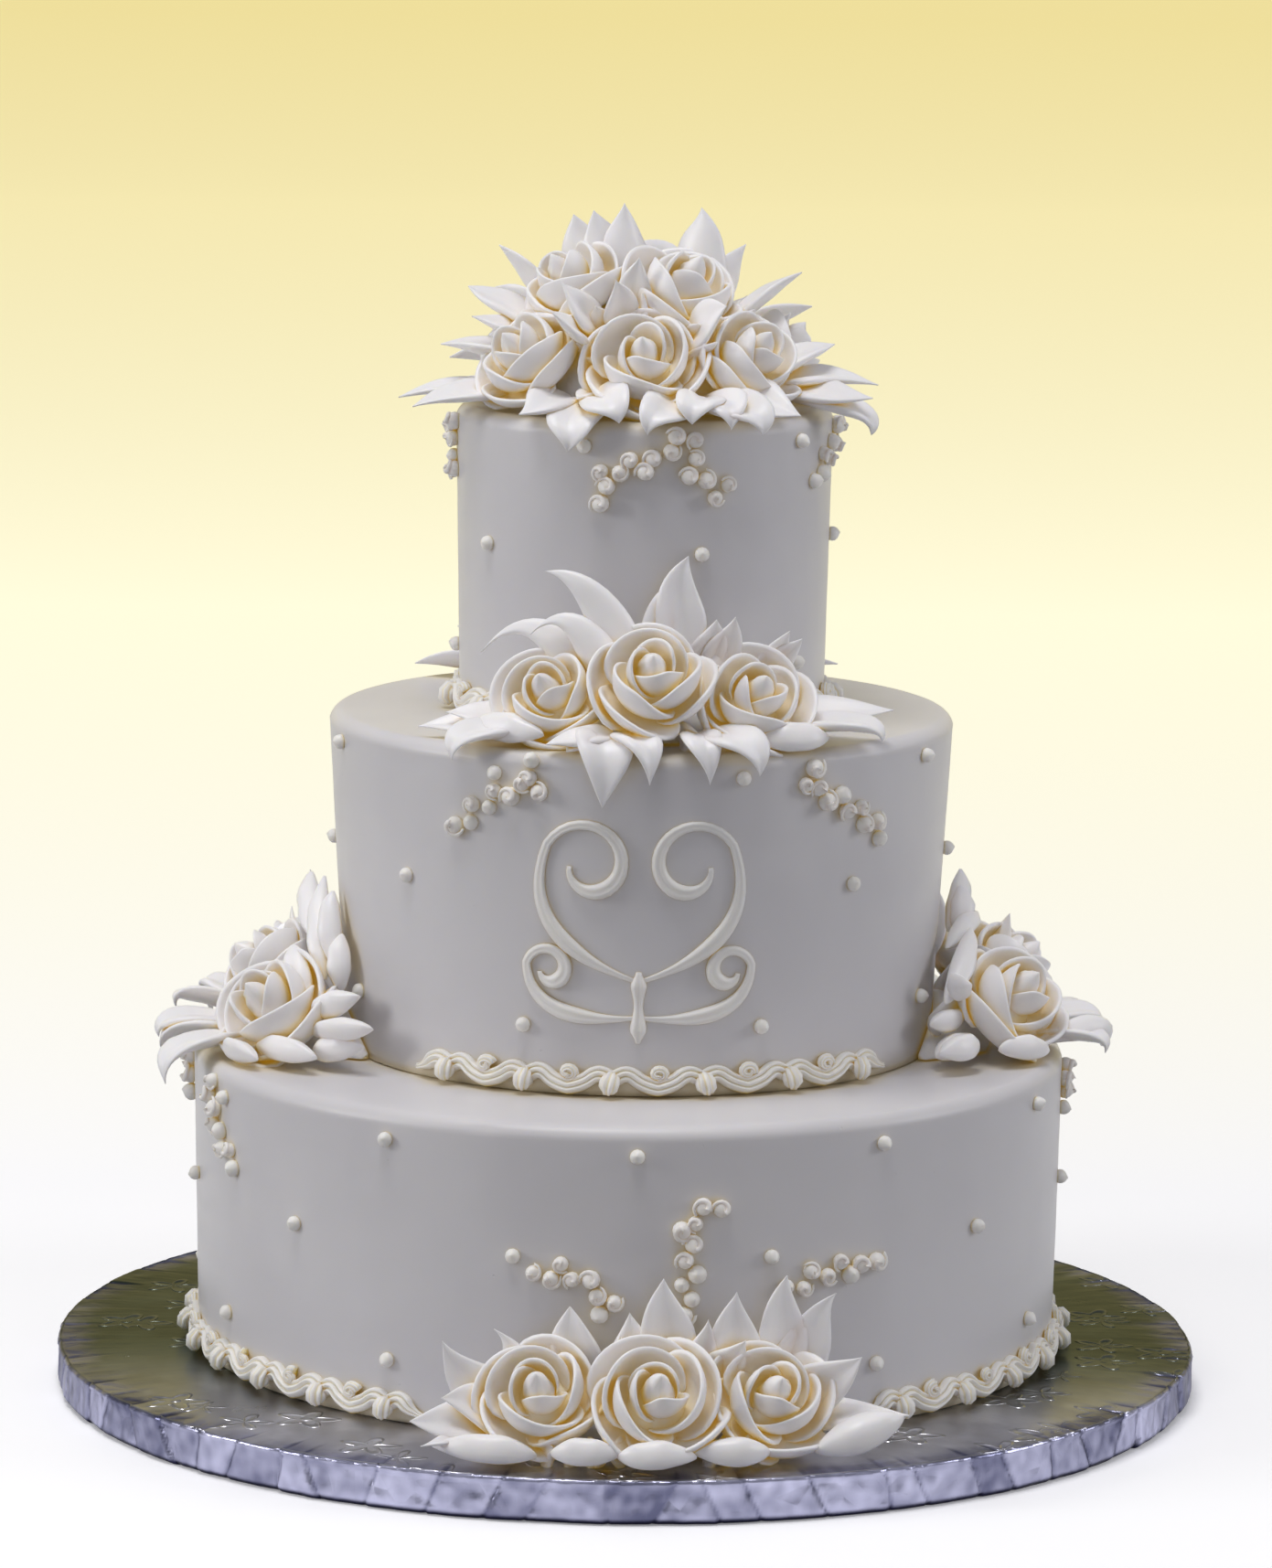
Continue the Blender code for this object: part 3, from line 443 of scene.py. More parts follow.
def tierFloor(name):
    height = boardTop
    for other, tier in tiers.items():
        if other == name:
            break
        height += tier["height"] * mm
    return height


def wallRadius(name, height):
    tier = tiers[name]
    share = (height - tierFloor(name)) / (tier["height"] * mm)
    share = min(max(share, 0.0), 1.0)
    return (tier["base"] + (tier["top"] - tier["base"]) * share) * mm


def around(name, bearing, radius, height):
    angle = radians(bearing)
    shift = tiers[name]["shift"] * mm
    return Vector((shift + radius * sin(angle), -radius * cos(angle), height))


def outwards(bearing):
    angle = radians(bearing)
    return Vector((sin(angle), -cos(angle), 0))


def markDepth(name, bearing, height, radius):
    sunk = 0.0
    for tier, middle, level, long, tall, deep in marks:
        if tier != name:
            continue
        along = radians((bearing - middle + 180) % 360 - 180) * radius / mm
        rise = height / mm - level
        away = (along / long) ** 2 + (rise / tall) ** 2
        sunk += deep * exp(-away * 2)
    return sunk * mm


def tierRow(name, radius, height, unevenness):
    # one level ring of a tier, a little uneven as a hand smooths it
    ring = []
    for step in range(tierShape["segments"]):
        bearing = 360 * step / tierShape["segments"]
        way = outwards(bearing)
        seed = Vector((way.x * 2.1, way.y * 2.1, height * 9))
        fine = Vector((way.x * 9, way.y * 9, height * 60))
        sway = noise.noise(seed) * tierShape["sway"] + noise.noise(fine) * tierShape["ripple"]
        inward = (sway - tierShape["sway"]) * unevenness * mm
        inward -= markDepth(name, bearing, height, radius)
        ring.append(around(name, bearing, radius + inward, height))
    return ring


def spreadTier(name):
    floor = tierFloor(name)
    crown = floor + tiers[name]["height"] * mm
    edge = tiers[name]["top"] * mm
    curve = tierShape["rimRound"] * mm
    rings = []
    for share in steps(tierShape["rows"]):
        height = floor + 0.3 * mm + (crown - curve - floor - 0.3 * mm) * share
        rings.append(tierRow(name, wallRadius(name, height), height, 1.0))
    for share in steps(tierShape["rimSteps"])[1:]:
        angle = radians(90 * share)
        radius = edge - curve + curve * cos(angle)
        rings.append(tierRow(name, radius, crown - curve + curve * sin(angle), 1.0))
    for share in (0.94, 0.86, 0.76, 0.62, 0.45, 0.25, 0.02):
        ring = tierRow(name, (edge - curve) * share, crown, 0.3)
        for point in ring:
            point.z -= (0.25 + noise.noise(point * 22) * 0.25) * mm
        rings.append(ring)
    icing = Icing()
    icing.loft([[(point, 1.0) for point in ring] for ring in rings])
    icing.serve(name + "_tier", "tier_" + name, wallFinish(name + "Wall"))


# Roses

rose = {
    "heart": 0.42,       # height of the middle above the base, in radii
    "rise": 42.0,        # degrees that it looks up
    "jitter": 0.10, "sections": 6,
}
# Rings of petals from the heart out: how many, the span of each in degrees, then foot, belly
# and rim as (radius, height) in radii, how far the rim drops where the petal leads and where
# it trails, how far it winds out, how thick it is and how far its lip rolls out.
petalRings = (
    {"count": 3, "span": 172, "foot": (0.14, 0.22), "belly": (0.60, 0.44), "rim": (0.37, 1.02),
     "lead": 0.42, "trail": 0.74, "wind": 0.22, "thick": 0.064, "roll": 0.015},
    {"count": 3, "span": 186, "foot": (0.26, 0.06), "belly": (0.98, 0.22), "rim": (0.69, 0.84),
     "lead": 0.60, "trail": 0.86, "wind": 0.20, "thick": 0.078, "roll": 0.035},
    {"count": 4, "span": 156, "foot": (0.40, -0.08), "belly": (1.16, -0.08), "rim": (1.05, 0.53),
     "lead": 0.64, "trail": 0.90, "wind": 0.18, "thick": 0.088, "roll": 0.06},
)


def rosePlace(middle, axis, radius, turn):
    side = axis.cross(up).normalized()
    across = spin(side, axis.cross(side), turn)
    basis = Matrix((across, axis.cross(across), axis)).transposed().to_4x4()
    return Matrix.Translation(middle - axis * radius * rose["heart"]) @ basis @ Matrix.Scale(radius, 4)


def petal(icing, plan, start, place):
    # one petal: a cupped sheet whose thick round rim arches from its foot to its foot
    span = plan["span"] * (1 + vary(rose["jitter"]))
    foot, belly, rim = (Vector(plan[key]) for key in ("foot", "belly", "rim"))
    rim = rim * (1 + vary(rose["jitter"]) * 0.6)
    phase = rng.uniform(0, 6.28)
    peak = vary(0.3)
    rings = []
    for share in steps(max(16, round(span / 8))):
        u = 2 * share - 1
        away = (u - peak) / (1 + peak if u < peak else 1 - peak)
        drop = plan["lead"] if away < 0 else plan["trail"]
        reach = (1 - drop * abs(away) ** 2.3) * (1 + 0.02 * sin(4.1 * u + phase))
        thick = plan["thick"] * (1 - 0.6 * ease((abs(u) - 0.7) / 0.3))
        outer = []
        inner = []
        shade = []
        for v in steps(rose["sections"]):
            t = v * reach
            along = bezierWay(foot, belly, rim, t)
            normal = Vector((along.y, -along.x))
            half = thick / 2 * (1.2 - 0.2 * v)
            spot = bezier(foot, belly, rim, t)
            spot += normal * plan["roll"] * max(0.0, v - 0.6) ** 2 * 6 * (1 - u * u)
            outer.append(spot + normal * half)
            inner.append(spot - normal * half)
            shade.append(t)
        along = (outer[-1] - outer[-2]).normalized()
        lip = (outer[-1] - inner[-1]) / 2
        tip = (outer[-1] + inner[-1]) / 2
        edge = [tip + lip * cos(a) + along * lip.length * sin(a) for a in (0.8, 1.57, 2.34)]
        angle = radians(start + span * share)
        winding = 1 + plan["wind"] * u
        # the depth rises from the foot to the rim and is a little lower on the inner face: it sets the
        # painted shade
        section = zip(outer + edge + inner[::-1], shade + [reach] * 3 + [t * 0.9 for t in shade[::-1]])
        rings.append([
            (place @ Vector((p.x * winding * cos(angle), p.x * winding * sin(angle), p.y)), depth)
            for p, depth in section
        ])
    icing.loft(rings)


# The radius, height and depth of each ring of the heart; the depth is low at the foot, where painted shade
# falls. The core shuts the view between the petals, and has no depth of its own.
budRings = ((0.20, 0.10, 0.15), (0.29, 0.40, 0.35), (0.29, 0.62, 0.6), (0.255, 0.80, 0.8),
            (0.195, 0.94, 0.95), (0.12, 1.05, 1.0), (0.05, 1.13, 1.0), (0.01, 1.17, 1.0))
coreRings = ((0.34, -0.04), (0.52, 0.06), (0.50, 0.22), (0.38, 0.40), (0.22, 0.52))


def bud(icing, place):
    # the pointed heart that the petals wrap, with a spiral fold
    rings = []
    lean = vary(0.05)
    for radius, height, depth in budRings:
        bent = lean * max(0.0, height - 0.6) * 2
        ring = []
        for angle in circle(28):
            reach = radius * (0.80 + 0.28 * ((angle / (2 * pi) + height * 0.9) % 1.0))
            ring.append((place @ Vector((reach * cos(angle) + bent, reach * sin(angle), height)), depth))
        rings.append(ring)
    icing.loft(rings)


def pipeRose(name, middle, axis, radius, finish):
    icing = Icing()
    place = rosePlace(middle, axis.normalized(), radius, rng.uniform(0, 2 * pi))
    bud(icing, place)
    start = 0.0
    for plan in petalRings:
        for number in range(plan["count"]):
            petal(icing, plan, start + 360 / plan["count"] * number + vary(13), place)
        start += 47 + vary(12)
    # the core, at a low depth, so it is painted in shade
    icing.loft([[(place @ Vector((reach * cos(a), reach * sin(a), height)), 0.1) for a in circle(16)]
                for reach, height in coreRings])
    icing.serve(name + "_petals", name, finish)


# Leaves

leaf = {
    "steps": 20, "sides": 16,
    "breadth": 0.60,       # width over length
    "widest": 36.0,        # leaves longer than this get no wider
    "thick": 6.2,
    "lift": 0.13,          # how far the edges stand over the midrib, over the width
    "groove": 0.55, "arch": 0.12,
    "swell": 0.66,         # how slowly it widens from its base, and how fast it narrows to its tip
    "taper": 1.12, "sway": 0.16,
}
leafShapes = {
    "leaf": leaf,
    "plump": dict(leaf, thick=10.5, lift=-0.03, groove=-0.24, arch=0.06, swell=0.78, taper=0.80, sway=0.05),
    "horn": dict(leaf, thick=9.0, lift=0.02, groove=0.20, swell=0.20, taper=1.35, sway=0.0),
}


def pipeLeaf(icing, base, bend, tip, facing, width, shape, hook=0.0):
    # a leaf along a bent midrib, grooved down the middle, drawn out to a sharp tip
    taper = shape["taper"] * rng.uniform(0.9, 1.25)
    widest = shape["swell"] / (shape["swell"] + taper)
    roll = vary(0.25)
    length = (tip - base).length
    rings = []
    for share in steps(shape["steps"]):
        t = 0.5 - 0.5 * cos(pi * share)
        along = bezierWay(base, bend, tip, t)
        across = along.cross(facing).normalized()
        normal = across.cross(along)
        across, normal = spin(across, normal, roll * t), spin(normal, -across, roll * t)
        size = ((t + 0.004) / widest) ** shape["swell"] * ((1 - t) / (1 - widest)) ** taper + 0.012
        half = width * size / 2
        thick = shape["thick"] * mm * min(1.0, size * 0.9 + 0.1) / 2
        thick *= 1 + 0.05 * sin(t * 17 + roll * 20)
        spot = bezier(base, bend, tip, t) + across * hook * length * max(0.0, t - 0.7) ** 2 * 3
        spot = spot + across * half * shape["sway"] * sin(t * 5 + roll * 30)
        ring = []
        for side in range(shape["sides"]):
            turn = 2 * pi * (side + 0.5) / shape["sides"]
            x = cos(turn)
            z = sin(turn)
            groove = exp(-(x * 2.6) ** 2)
            rise = z * thick * (1 - shape["groove"] * groove if z > 0 else 0.7)
            lifted = shape["lift"] * width * size * (abs(x) ** 1.5 - 0.35)
            # painted shade: the depth is lower towards the root, in the groove and on the underside
            depth = min(1.0, 0.3 + t * 2.6) * (1.0 - 0.28 * groove * (1 - t)) * (1 if z > 0 else 0.75)
            ring.append((spot + across * half * x + normal * (rise + lifted), depth))
        rings.append(ring)
    icing.loft(rings)


def wishes(entry):
    return entry[3] if len(entry) > 3 else {}


# Clusters on a ledge

ledgeMiddle = 30.0
mound = {
    "section": ((0, 0), (26, 0), (27, 3), (22, 7), (15, 11), (7, 16), (0, 17)),
    "stations": ((-1.0, 0.12), (-0.85, 0.45), (-0.6, 0.85), (0.0, 1.0), (0.6, 0.85), (0.85, 0.45),
                 (1.0, 0.12)),
}
fillers = {"apart": 7.5, "width": 12.5, "rows": ((9, 14, 32), (24, 8, 20), (36, 3, 8))}
leafRoots = {"rising": (0.88, 7, 28), "lying": (0.82, 33, 4), "sideways": (0.80, 18, 15)}
rootShifts = (0, -5, 5, -10, 10, -15, 15)
# Places are (along the wall, out from it, up from the ledge) in millimetres. A rose adds its
# radius, and may add how far it turns. A leaf is the place of its tip, and may add a width, a
# bend, a root, a hook or a shape. A plump leaf is the place of its root, of its tip, its width.
clusters = {
    "board_front": {
        "wall": "bottom", "bearing": 3.4, "half": 62,
        "roses": ((-44, 28, 24, 21), (0, 32, 25, 22), (44, 28, 23, 21.5)),
        "leaves": (
            (-85, 26, 39, {"hook": 0.25}), (-60, 15, 46, {"hook": -0.5, "width": 15}), (-35, 9, 54),
            (-10, 9, 52), (4, 8, 65), (22, 13, 50, {"width": 13}), (34, 12, 60),
            (35, 23, 44, {"width": 14}), (53, 10, 65, {"hook": 0.2}), (72, 12, 59, {"hook": 0.35}),
            (76, 37, 38), (-78, 39, 23), (-87, 47, 15), (-80, 55, 8, {"width": 17}),
            (89, 50, 17, {"width": 18}), (-14, 12, 44),
        ),
        "plump": (
            ((-37, 45, 6), (-12, 46, 7), 12), ((-14, 47, 6), (13, 48, 6), 13),
            ((39, 45, 6), (12, 46, 7), 12.5), ((-42, 45, 5), (-79, 46, 6), 13),
            ((56, 44, 5), (88, 48, 16), 15),
        ),
    },
    "board_back": {
        "wall": "bottom", "bearing": 183.0, "half": 62,
        "roses": ((-44, 28, 23, 21.5), (0, 32, 25, 22), (44, 28, 24, 21)),
        "leaves": (
            (-84, 28, 38), (-62, 12, 54), (-36, 9, 60), (-12, 9, 54), (10, 8, 64), (26, 12, 50),
            (42, 10, 60), (68, 14, 46), (86, 30, 32), (92, 44, 14), (-92, 42, 14), (-74, 20, 48),
        ),
        "plump": (
            ((-53, 45, 6), (-28, 46, 7), 12), ((-25, 47, 6), (1, 48, 6), 13), ((28, 47, 6), (2, 48, 7), 12),
            ((54, 45, 6), (30, 46, 6), 12.5),
        ),
    },
    "side_left": {
        "wall": "middle", "bearing": -90.0, "half": 68,
        "roses": ((50, 34, 20, 22, 24), (3, 30, 27, 21, 10), (-45, 31, 21, 21)),
        "leaves": (
            (-33, 15, 61), (-41, 26, 44), (16, 73, 2), (0, 66, 10), (-25, 59, 10), (46, 76, -9),
            (23, 72, -2), (-56, 70, -6), (-84, 12, 22), (-70, 30, 34),
        ),
        "plump": (
            ((66, 22, 20), (86, 10, 29), 11.5), ((70, 24, 13), (103, 15, 19), 9.5),
            ((72, 25, 5), (96, 15, 11), 11.5), ((56, 42, 6), (88, 32, 7), 10.5),
            ((60, 7, 27), (50, 3, 48), 9), ((50, 11, 30), (15, 4, 66), 9), ((50, 6, 35), (35, 3, 63), 8),
            ((30, 9, 41), (-10, 10, 64), 9), ((58, 20, 22), (36, 20, 42), 11),
            ((46, 52, 4), (72, 49, 5), 8),
        ),
    },
    "side_right": {
        "wall": "middle", "bearing": 96.0, "half": 68,
        "roses": ((-46, 32, 24, 22, -26), (1, 31, 27, 21, -10), (46, 31, 21, 21.5)),
        "leaves": (
            (5, 30, 48), (-5, 68, 3), (-36, 69, 1), (34, 70, -6), (42, 9, 55), (70, 12, 38), (86, 40, 8),
            (60, 60, -2),
        ),
        "plump": (
            ((-74, 26, 9), (-98, 20, 9), 11.5), ((-72, 34, 8), (-52, 49, 4), 10),
            ((-42, 42, 5), (-25, 67, 1), 11), ((-76, 12, 25), (-35, 12, 49), 9),
            ((-45, 4, 42), (-10, 13, 52), 8), ((-20, 3, 45), (2, 8, 67), 8), ((-22, 6, 45), (-9, 7, 62), 7),
            ((-72, 16, 26), (-78, 15, 38), 7), ((-58, 14, 16), (-86, 10, 18), 9),
            ((-60, 20, 8), (-88, 14, 6), 11),
        ),
    },
    "middle_front": {
        "wall": "top", "bearing": 2.0, "half": 54,
        "roses": ((-39, 31, 19, 20), (0, 35, 28, 21), (40, 31, 18, 21)),
        "leaves": (
            (-46, 19, 65, {"width": 17, "root": (-10, 17, 32), "bend": (-26, 17, 66), "shape": "horn"}),
            (18, 8, 71, {"width": 20, "root": (14, 10, 28), "bend": (9, 9, 54)}),
            (9, 8, 60, {"width": 13, "root": (5, 10, 28), "bend": (-2, 9, 46)}),
            (38, 16, 48, {"width": 16}), (30, 14, 47, {"width": 15}), (61, 22, 42, {"width": 15}),
            (66, 24, 39, {"width": 14}),
            (-50, 24, 41, {"width": 15, "root": (-18, 20, 28), "bend": (-34, 22, 58), "shape": "horn"}),
            (-74, 24, 32, {"width": 15, "root": (-30, 14, 26), "bend": (-54, 18, 56), "shape": "horn"}),
            (-86, 46, 4), (-62, 60, -4), (-78, 40, 10), (87, 52, 12), (73, 62, 3, {"width": 19}),
            (-15, 57, -19, {"width": 23}), (-1, 58, -10, {"width": 17}), (17, 58, -10, {"width": 16}),
            (32, 59, -7, {"width": 22}), (-27, 52, 1), (-34, 50, 3, {"root": (-12, 44, 6), "width": 14}),
        ),
        "plump": (((36, 45, 4), (60, 50, 4), 15), ((-66, 38, 6), (-36, 46, 6), 14)),
    },
    "middle_back": {
        "wall": "top", "bearing": 184.0, "half": 54,
        "roses": ((-40, 31, 18, 20.5), (0, 34, 26, 21), (39, 31, 20, 20)),
        "leaves": (
            (-36, 12, 58), (-12, 8, 66), (14, 9, 60), (40, 14, 52), (66, 18, 36), (-64, 18, 38),
            (-80, 50, 5), (80, 50, 5), (-30, 58, -14), (2, 58, -16), (34, 58, -12), (-54, 16, 50),
            (76, 30, 22),
        ),
        "plump": (((-26, 48, 4), (-2, 49, 4), 12), ((30, 48, 4), (6, 49, 4), 12)),
    },
}


def ledgePlace(cluster, place):
    along, out, height = (value * mm for value in place)
    wall = cluster["wall"]
    level = tierFloor(wall) + height
    bearing = cluster["bearing"] + degrees(along / (tiers[wall]["base"] + ledgeMiddle) / mm)
    return around(wall, bearing, wallRadius(wall, level) + 0.6 * mm + out, level)


def ledgeWidth(wall):
    below = {"bottom": boardRadius / mm, "middle": tiers["bottom"]["top"], "top": tiers["middle"]["top"]}
    return below[wall] - tiers[wall]["base"]


def moundSize(reach):
    stations = mound["stations"]
    for (one, sizeOne), (two, sizeTwo) in zip(stations, stations[1:]):
        if reach <= two:
            return sizeOne + (sizeTwo - sizeOne) * (reach - one) / (two - one)
    return stations[-1][1]


def clearRoot(starts, tip, roses):
    # the start whose straight way to the tip keeps furthest from the roses
    def room(number, start):
        spots = [start.lerp(tip, share) for share in steps(4)]
        return min(5 * mm, *(leastGap(spot, roses) for spot in spots)) - 0.4 * mm * number
    return max(enumerate(starts), key=lambda entry: room(*entry))[1]


def clusterRoot(cluster, place, roses):
    kind = "lying" if place[2] <= 15 else "rising" if place[1] < 25 else "sideways"
    share, out, height = leafRoots[kind]
    end = cluster["half"] * 0.86
    starts = []
    for shift in rootShifts:
        reach = min(max(place[0] * share + shift, -end), end)
        size = moundSize(abs(reach) / cluster["half"])
        starts.append(ledgePlace(cluster, (
            reach,
            min(out * size, max(place[1] - 12, 5)),
            min(height * size, max(place[2] - 6, 4)),
        )))
    return clearRoot(starts, ledgePlace(cluster, place), roses)


def dressLeaf(icing, cluster, entry, roses):
    place = entry[:3]
    wish = wishes(entry)
    shape = leafShapes[wish.get("shape", "leaf")]
    tip = ledgePlace(cluster, place)
    base = ledgePlace(cluster, wish["root"]) if "root" in wish else clusterRoot(cluster, place, roses)
    length = (tip - base).length
    outward = ledgePlace(cluster, (place[0], 40, 0)) - ledgePlace(cluster, (place[0], 0, 0))
    facing = outward.normalized() * (0.3 + max(place[2], 0) * 0.03) + up * 0.8
    bend = (base + tip) / 2 + facing.normalized() * length * shape["arch"]
    if "bend" in wish:
        bend = ledgePlace(cluster, wish["bend"])
    elif place[1] > ledgeWidth(cluster["wall"]) + 1:
        bend = ledgePlace(cluster, (place[0], place[1] + 4, max(place[2], 0) + 13))
    width = wish.get("width", shape["breadth"] * min(length / mm, shape["widest"]))
    pipeLeaf(icing, base, bend, tip, facing, width * mm, shape, wish.get("hook", 0.0))


def leastGap(spot, roses):
    return min((spot - middle).length - size for middle, size in roses)


def fillCluster(icing, cluster, roses):
    # short leaves that stand in the gaps between the roses
    reach = cluster["half"] * 0.84
    for out, foot, head in fillers["rows"]:
        for number in range(int(2 * reach / fillers["apart"])):
            along = -reach + fillers["apart"] * (number + rng.uniform(0.2, 0.8))
            lean = vary(7)
            root = ledgePlace(cluster, (along, out - 5, foot * 0.6))
            tip = ledgePlace(cluster, (along + lean, out + 5, head * rng.uniform(0.8, 1.0)))
            if leastGap(tip, roses) >= 1 * mm:
                facing = (tip - ledgePlace(cluster, (along, 0, 0))).normalized() + up * 0.3
                bend = (root + tip) / 2 + facing.normalized() * 2 * mm
                pipeLeaf(icing, root, bend, tip, facing, fillers["width"] * mm, leaf)


def dressCluster(name, cluster, finish):
    icing = Icing()
    icing.loft([[(ledgePlace(cluster, (cluster["half"] * share, out * size, 0.5 + rise * size)), 0.5)
                 for out, rise in mound["section"]] for share, size in mound["stations"]])
    roses = [(ledgePlace(cluster, place[:3]), place[3] * mm) for place in cluster["roses"]]
    for entry in cluster["leaves"]:
        dressLeaf(icing, cluster, entry, roses)
    for root, tip, width in cluster["plump"]:
        dressLeaf(icing, cluster, (*tip, {"root": root, "width": width, "shape": "plump"}), roses)
    fillCluster(icing, cluster, roses)
    icing.serve(name + "_foliage", name + "_leaves", finish)
    for number, place in enumerate(cluster["roses"], 1):
        middle = ledgePlace(cluster, place[:3])
        turn = Matrix.Rotation(radians(sum(place[4:])), 3, "Z")
        flat = turn @ (middle - ledgePlace(cluster, (place[0], 0, place[2])))
        axis = spin(flat.normalized(), up, radians(rose["rise"]))
        pipeRose(name + "_rose_" + str(number), middle, axis, place[3] * mm, finish)


# The bouquet on the top tier. Places are (right, back, up) from the middle of its top.

bouquet = {
    "radius": 58,
    "height": 44,
    "roses": (
        (-47, -37, 21, 19.5), (-1, -51, 21, 21), (41, -38, 22, 20), (-30, -13, 47, 20), (15, -18, 47, 21),
        (-50, 12, 20, 19.5), (53, 8, 21, 19.5), (-30, 47, 21, 20), (12, 56, 21, 20), (-6, 27, 47, 20),
        (48, 45, 17, 18),
    ),
    "leaves": (
        (-9, 5, 78), (-21, 5, 75), (-29, 10, 73), (26, 5, 75, {"hook": 0.5}), (39, 10, 62),
        (61, 0, 52, {"width": 18}), (-58, 5, 61), (-70, 0, 45), (-68, -20, 35), (-80, -20, 24),
        (74, -12, 25), (-96, -30, 4, {"width": 15}), (-90, -45, 2), (91, -20, 10),
        (86, -40, 5, {"hook": -0.4}), (88, -35, -8, {"width": 15}),
        (-33, -45, 49, {"hook": 0.3, "width": 17}), (-12, -45, 52), (-36, -58, 40, {"width": 14}),
        (31, -50, 43, {"width": 21}), (-3, -36, 60, {"width": 14}),
        (-27, -77, -11, {"hook": 0.3, "width": 22}), (1, -80, -4, {"width": 20}),
        (33, -78, -2, {"width": 19}), (45, -76, -4, {"width": 21}),
        (-46, -74, 2, {"hook": 0.3, "width": 19}), (18, -78, 0), (-10, -77, 0), (60, -62, 2), (84, 26, 6),
        (26, 82, -5), (-24, 82, -6), (-90, 6, 3), (4, 60, 50), (-34, 60, 44), (26, 36, 62), (70, 52, 6),
        (-62, 62, 4), (0, 82, 2), (-78, 30, 14), (66, 30, 36), (-60, 34, 42), (-48, 70, 8),
    ),
    "fillers": 60,
    "heart": (0.30, 14),
    "turns": ((0, 0), (-8, 0), (8, 0), (0, -10), (0, 10), (-16, 0), (16, 0), (-12, 14), (12, 14),
              (-12, -14), (12, -14), (-24, 0), (24, 0), (0, 24), (0, -20)),
}


def domeRoot(heart, tip):
    # where the way from the heart to the tip leaves the dome, a little further in
    squash = Vector((1 / bouquet["radius"], 1 / bouquet["radius"], 1 / bouquet["height"]))
    inner = heart * squash
    run = (tip - heart) * squash
    half = inner.dot(run)
    share = (-half + sqrt(half ** 2 - run.dot(run) * (inner.dot(inner) - 1))) / run.dot(run)
    return heart + (tip - heart) * share * 0.84


def bouquetLeaf(icing, origin, entry, roses):
    tip = Vector(entry[:3])
    wish = wishes(entry)
    flat = Vector((tip.x, tip.y, 0))
    share, level = bouquet["heart"]
    heart = flat * share + up * min(level, max(tip.z, 6))
    starts = []
    for turn, lift in bouquet["turns"]:
        angle = atan2(tip.x, -tip.y) + radians(turn)
        aim = Vector((sin(angle), -cos(angle), 0)) * flat.length + up * max(tip.z + lift, 6)
        starts.append(domeRoot(heart, aim) * mm)
    tip = tip * mm
    base = clearRoot(starts, tip, roses)
    length = (tip - base).length
    facing = Vector((0.3 * tip.x, tip.y, 0.8 * flat.length * mm)).normalized()
    bend = (base + tip) / 2 + facing * length * leaf["arch"]
    if flat.length > tiers["top"]["top"] and entry[2] < 1:
        bend = flat * 1.05 * mm + up * (13 + entry[2]) * mm
    width = wish.get("width", leaf["breadth"] * min(length / mm, leaf["widest"])) * mm
    pipeLeaf(icing, origin + base, origin + bend, origin + tip, facing, width, leaf, wish.get("hook", 0.0))


def fillBouquet(icing, origin, roses):
    # short leaves over the dome, which stand in the gaps between the roses
    for number in range(bouquet["fillers"]):
        lift = 0.12 + 0.8 * (number + 0.5) / bouquet["fillers"]
        angle = number * 2.39996 + vary(0.2)
        level = sqrt(1 - lift * lift)
        way = Vector((sin(angle) * level, cos(angle) * level, lift))
        foot = Vector((way.x * 46, way.y * 46, way.z * 34)) * mm
        tip = Vector((way.x * 64, way.y * 64, way.z * 52)) * mm
        tip += Vector((vary(5), vary(5), rng.uniform(-2, 5))) * mm
        if leastGap(tip, roses) > 1 * mm:
            bend = (foot + tip) / 2 + up * 2 * mm
            pipeLeaf(icing, origin + foot, origin + bend, origin + tip, way + up * 0.4, 13 * mm, leaf)


def dressTop(finish):
    origin = Vector((tiers["top"]["shift"] * mm, 0, tierFloor("none") + 0.3 * mm))
    icing = Icing()
    rings = []
    for lift in (0, 12, 26, 40, 54, 68, 80, 88):
        reach = (bouquet["radius"] - 6) * cos(radians(lift)) * mm
        height = (bouquet["height"] - 6) * sin(radians(lift)) * mm
        rings.append([(origin + outwards(15 * step) * reach + up * height, 0.5) for step in range(24)])
    icing.loft(rings)
    roses = [(Vector(place[:3]) * mm, place[3] * mm) for place in bouquet["roses"]]
    for entry in bouquet["leaves"]:
        bouquetLeaf(icing, origin, entry, roses)
    fillBouquet(icing, origin, roses)
    icing.serve("bouquet_foliage", "bouquet_leaves", finish)
    for number, (right, back, height, radius) in enumerate(bouquet["roses"], 1):
        rise = radians(rose["rise"] + 0.45 * max(height - 20, 0))
        axis = spin(Vector((right, back, 0)).normalized(), up, rise)
        middle = origin + Vector((right, back, height)) * mm
        pipeRose("bouquet_rose_" + str(number).zfill(2), middle, axis, radius * mm, finish)


# Pearls and sprays of beads

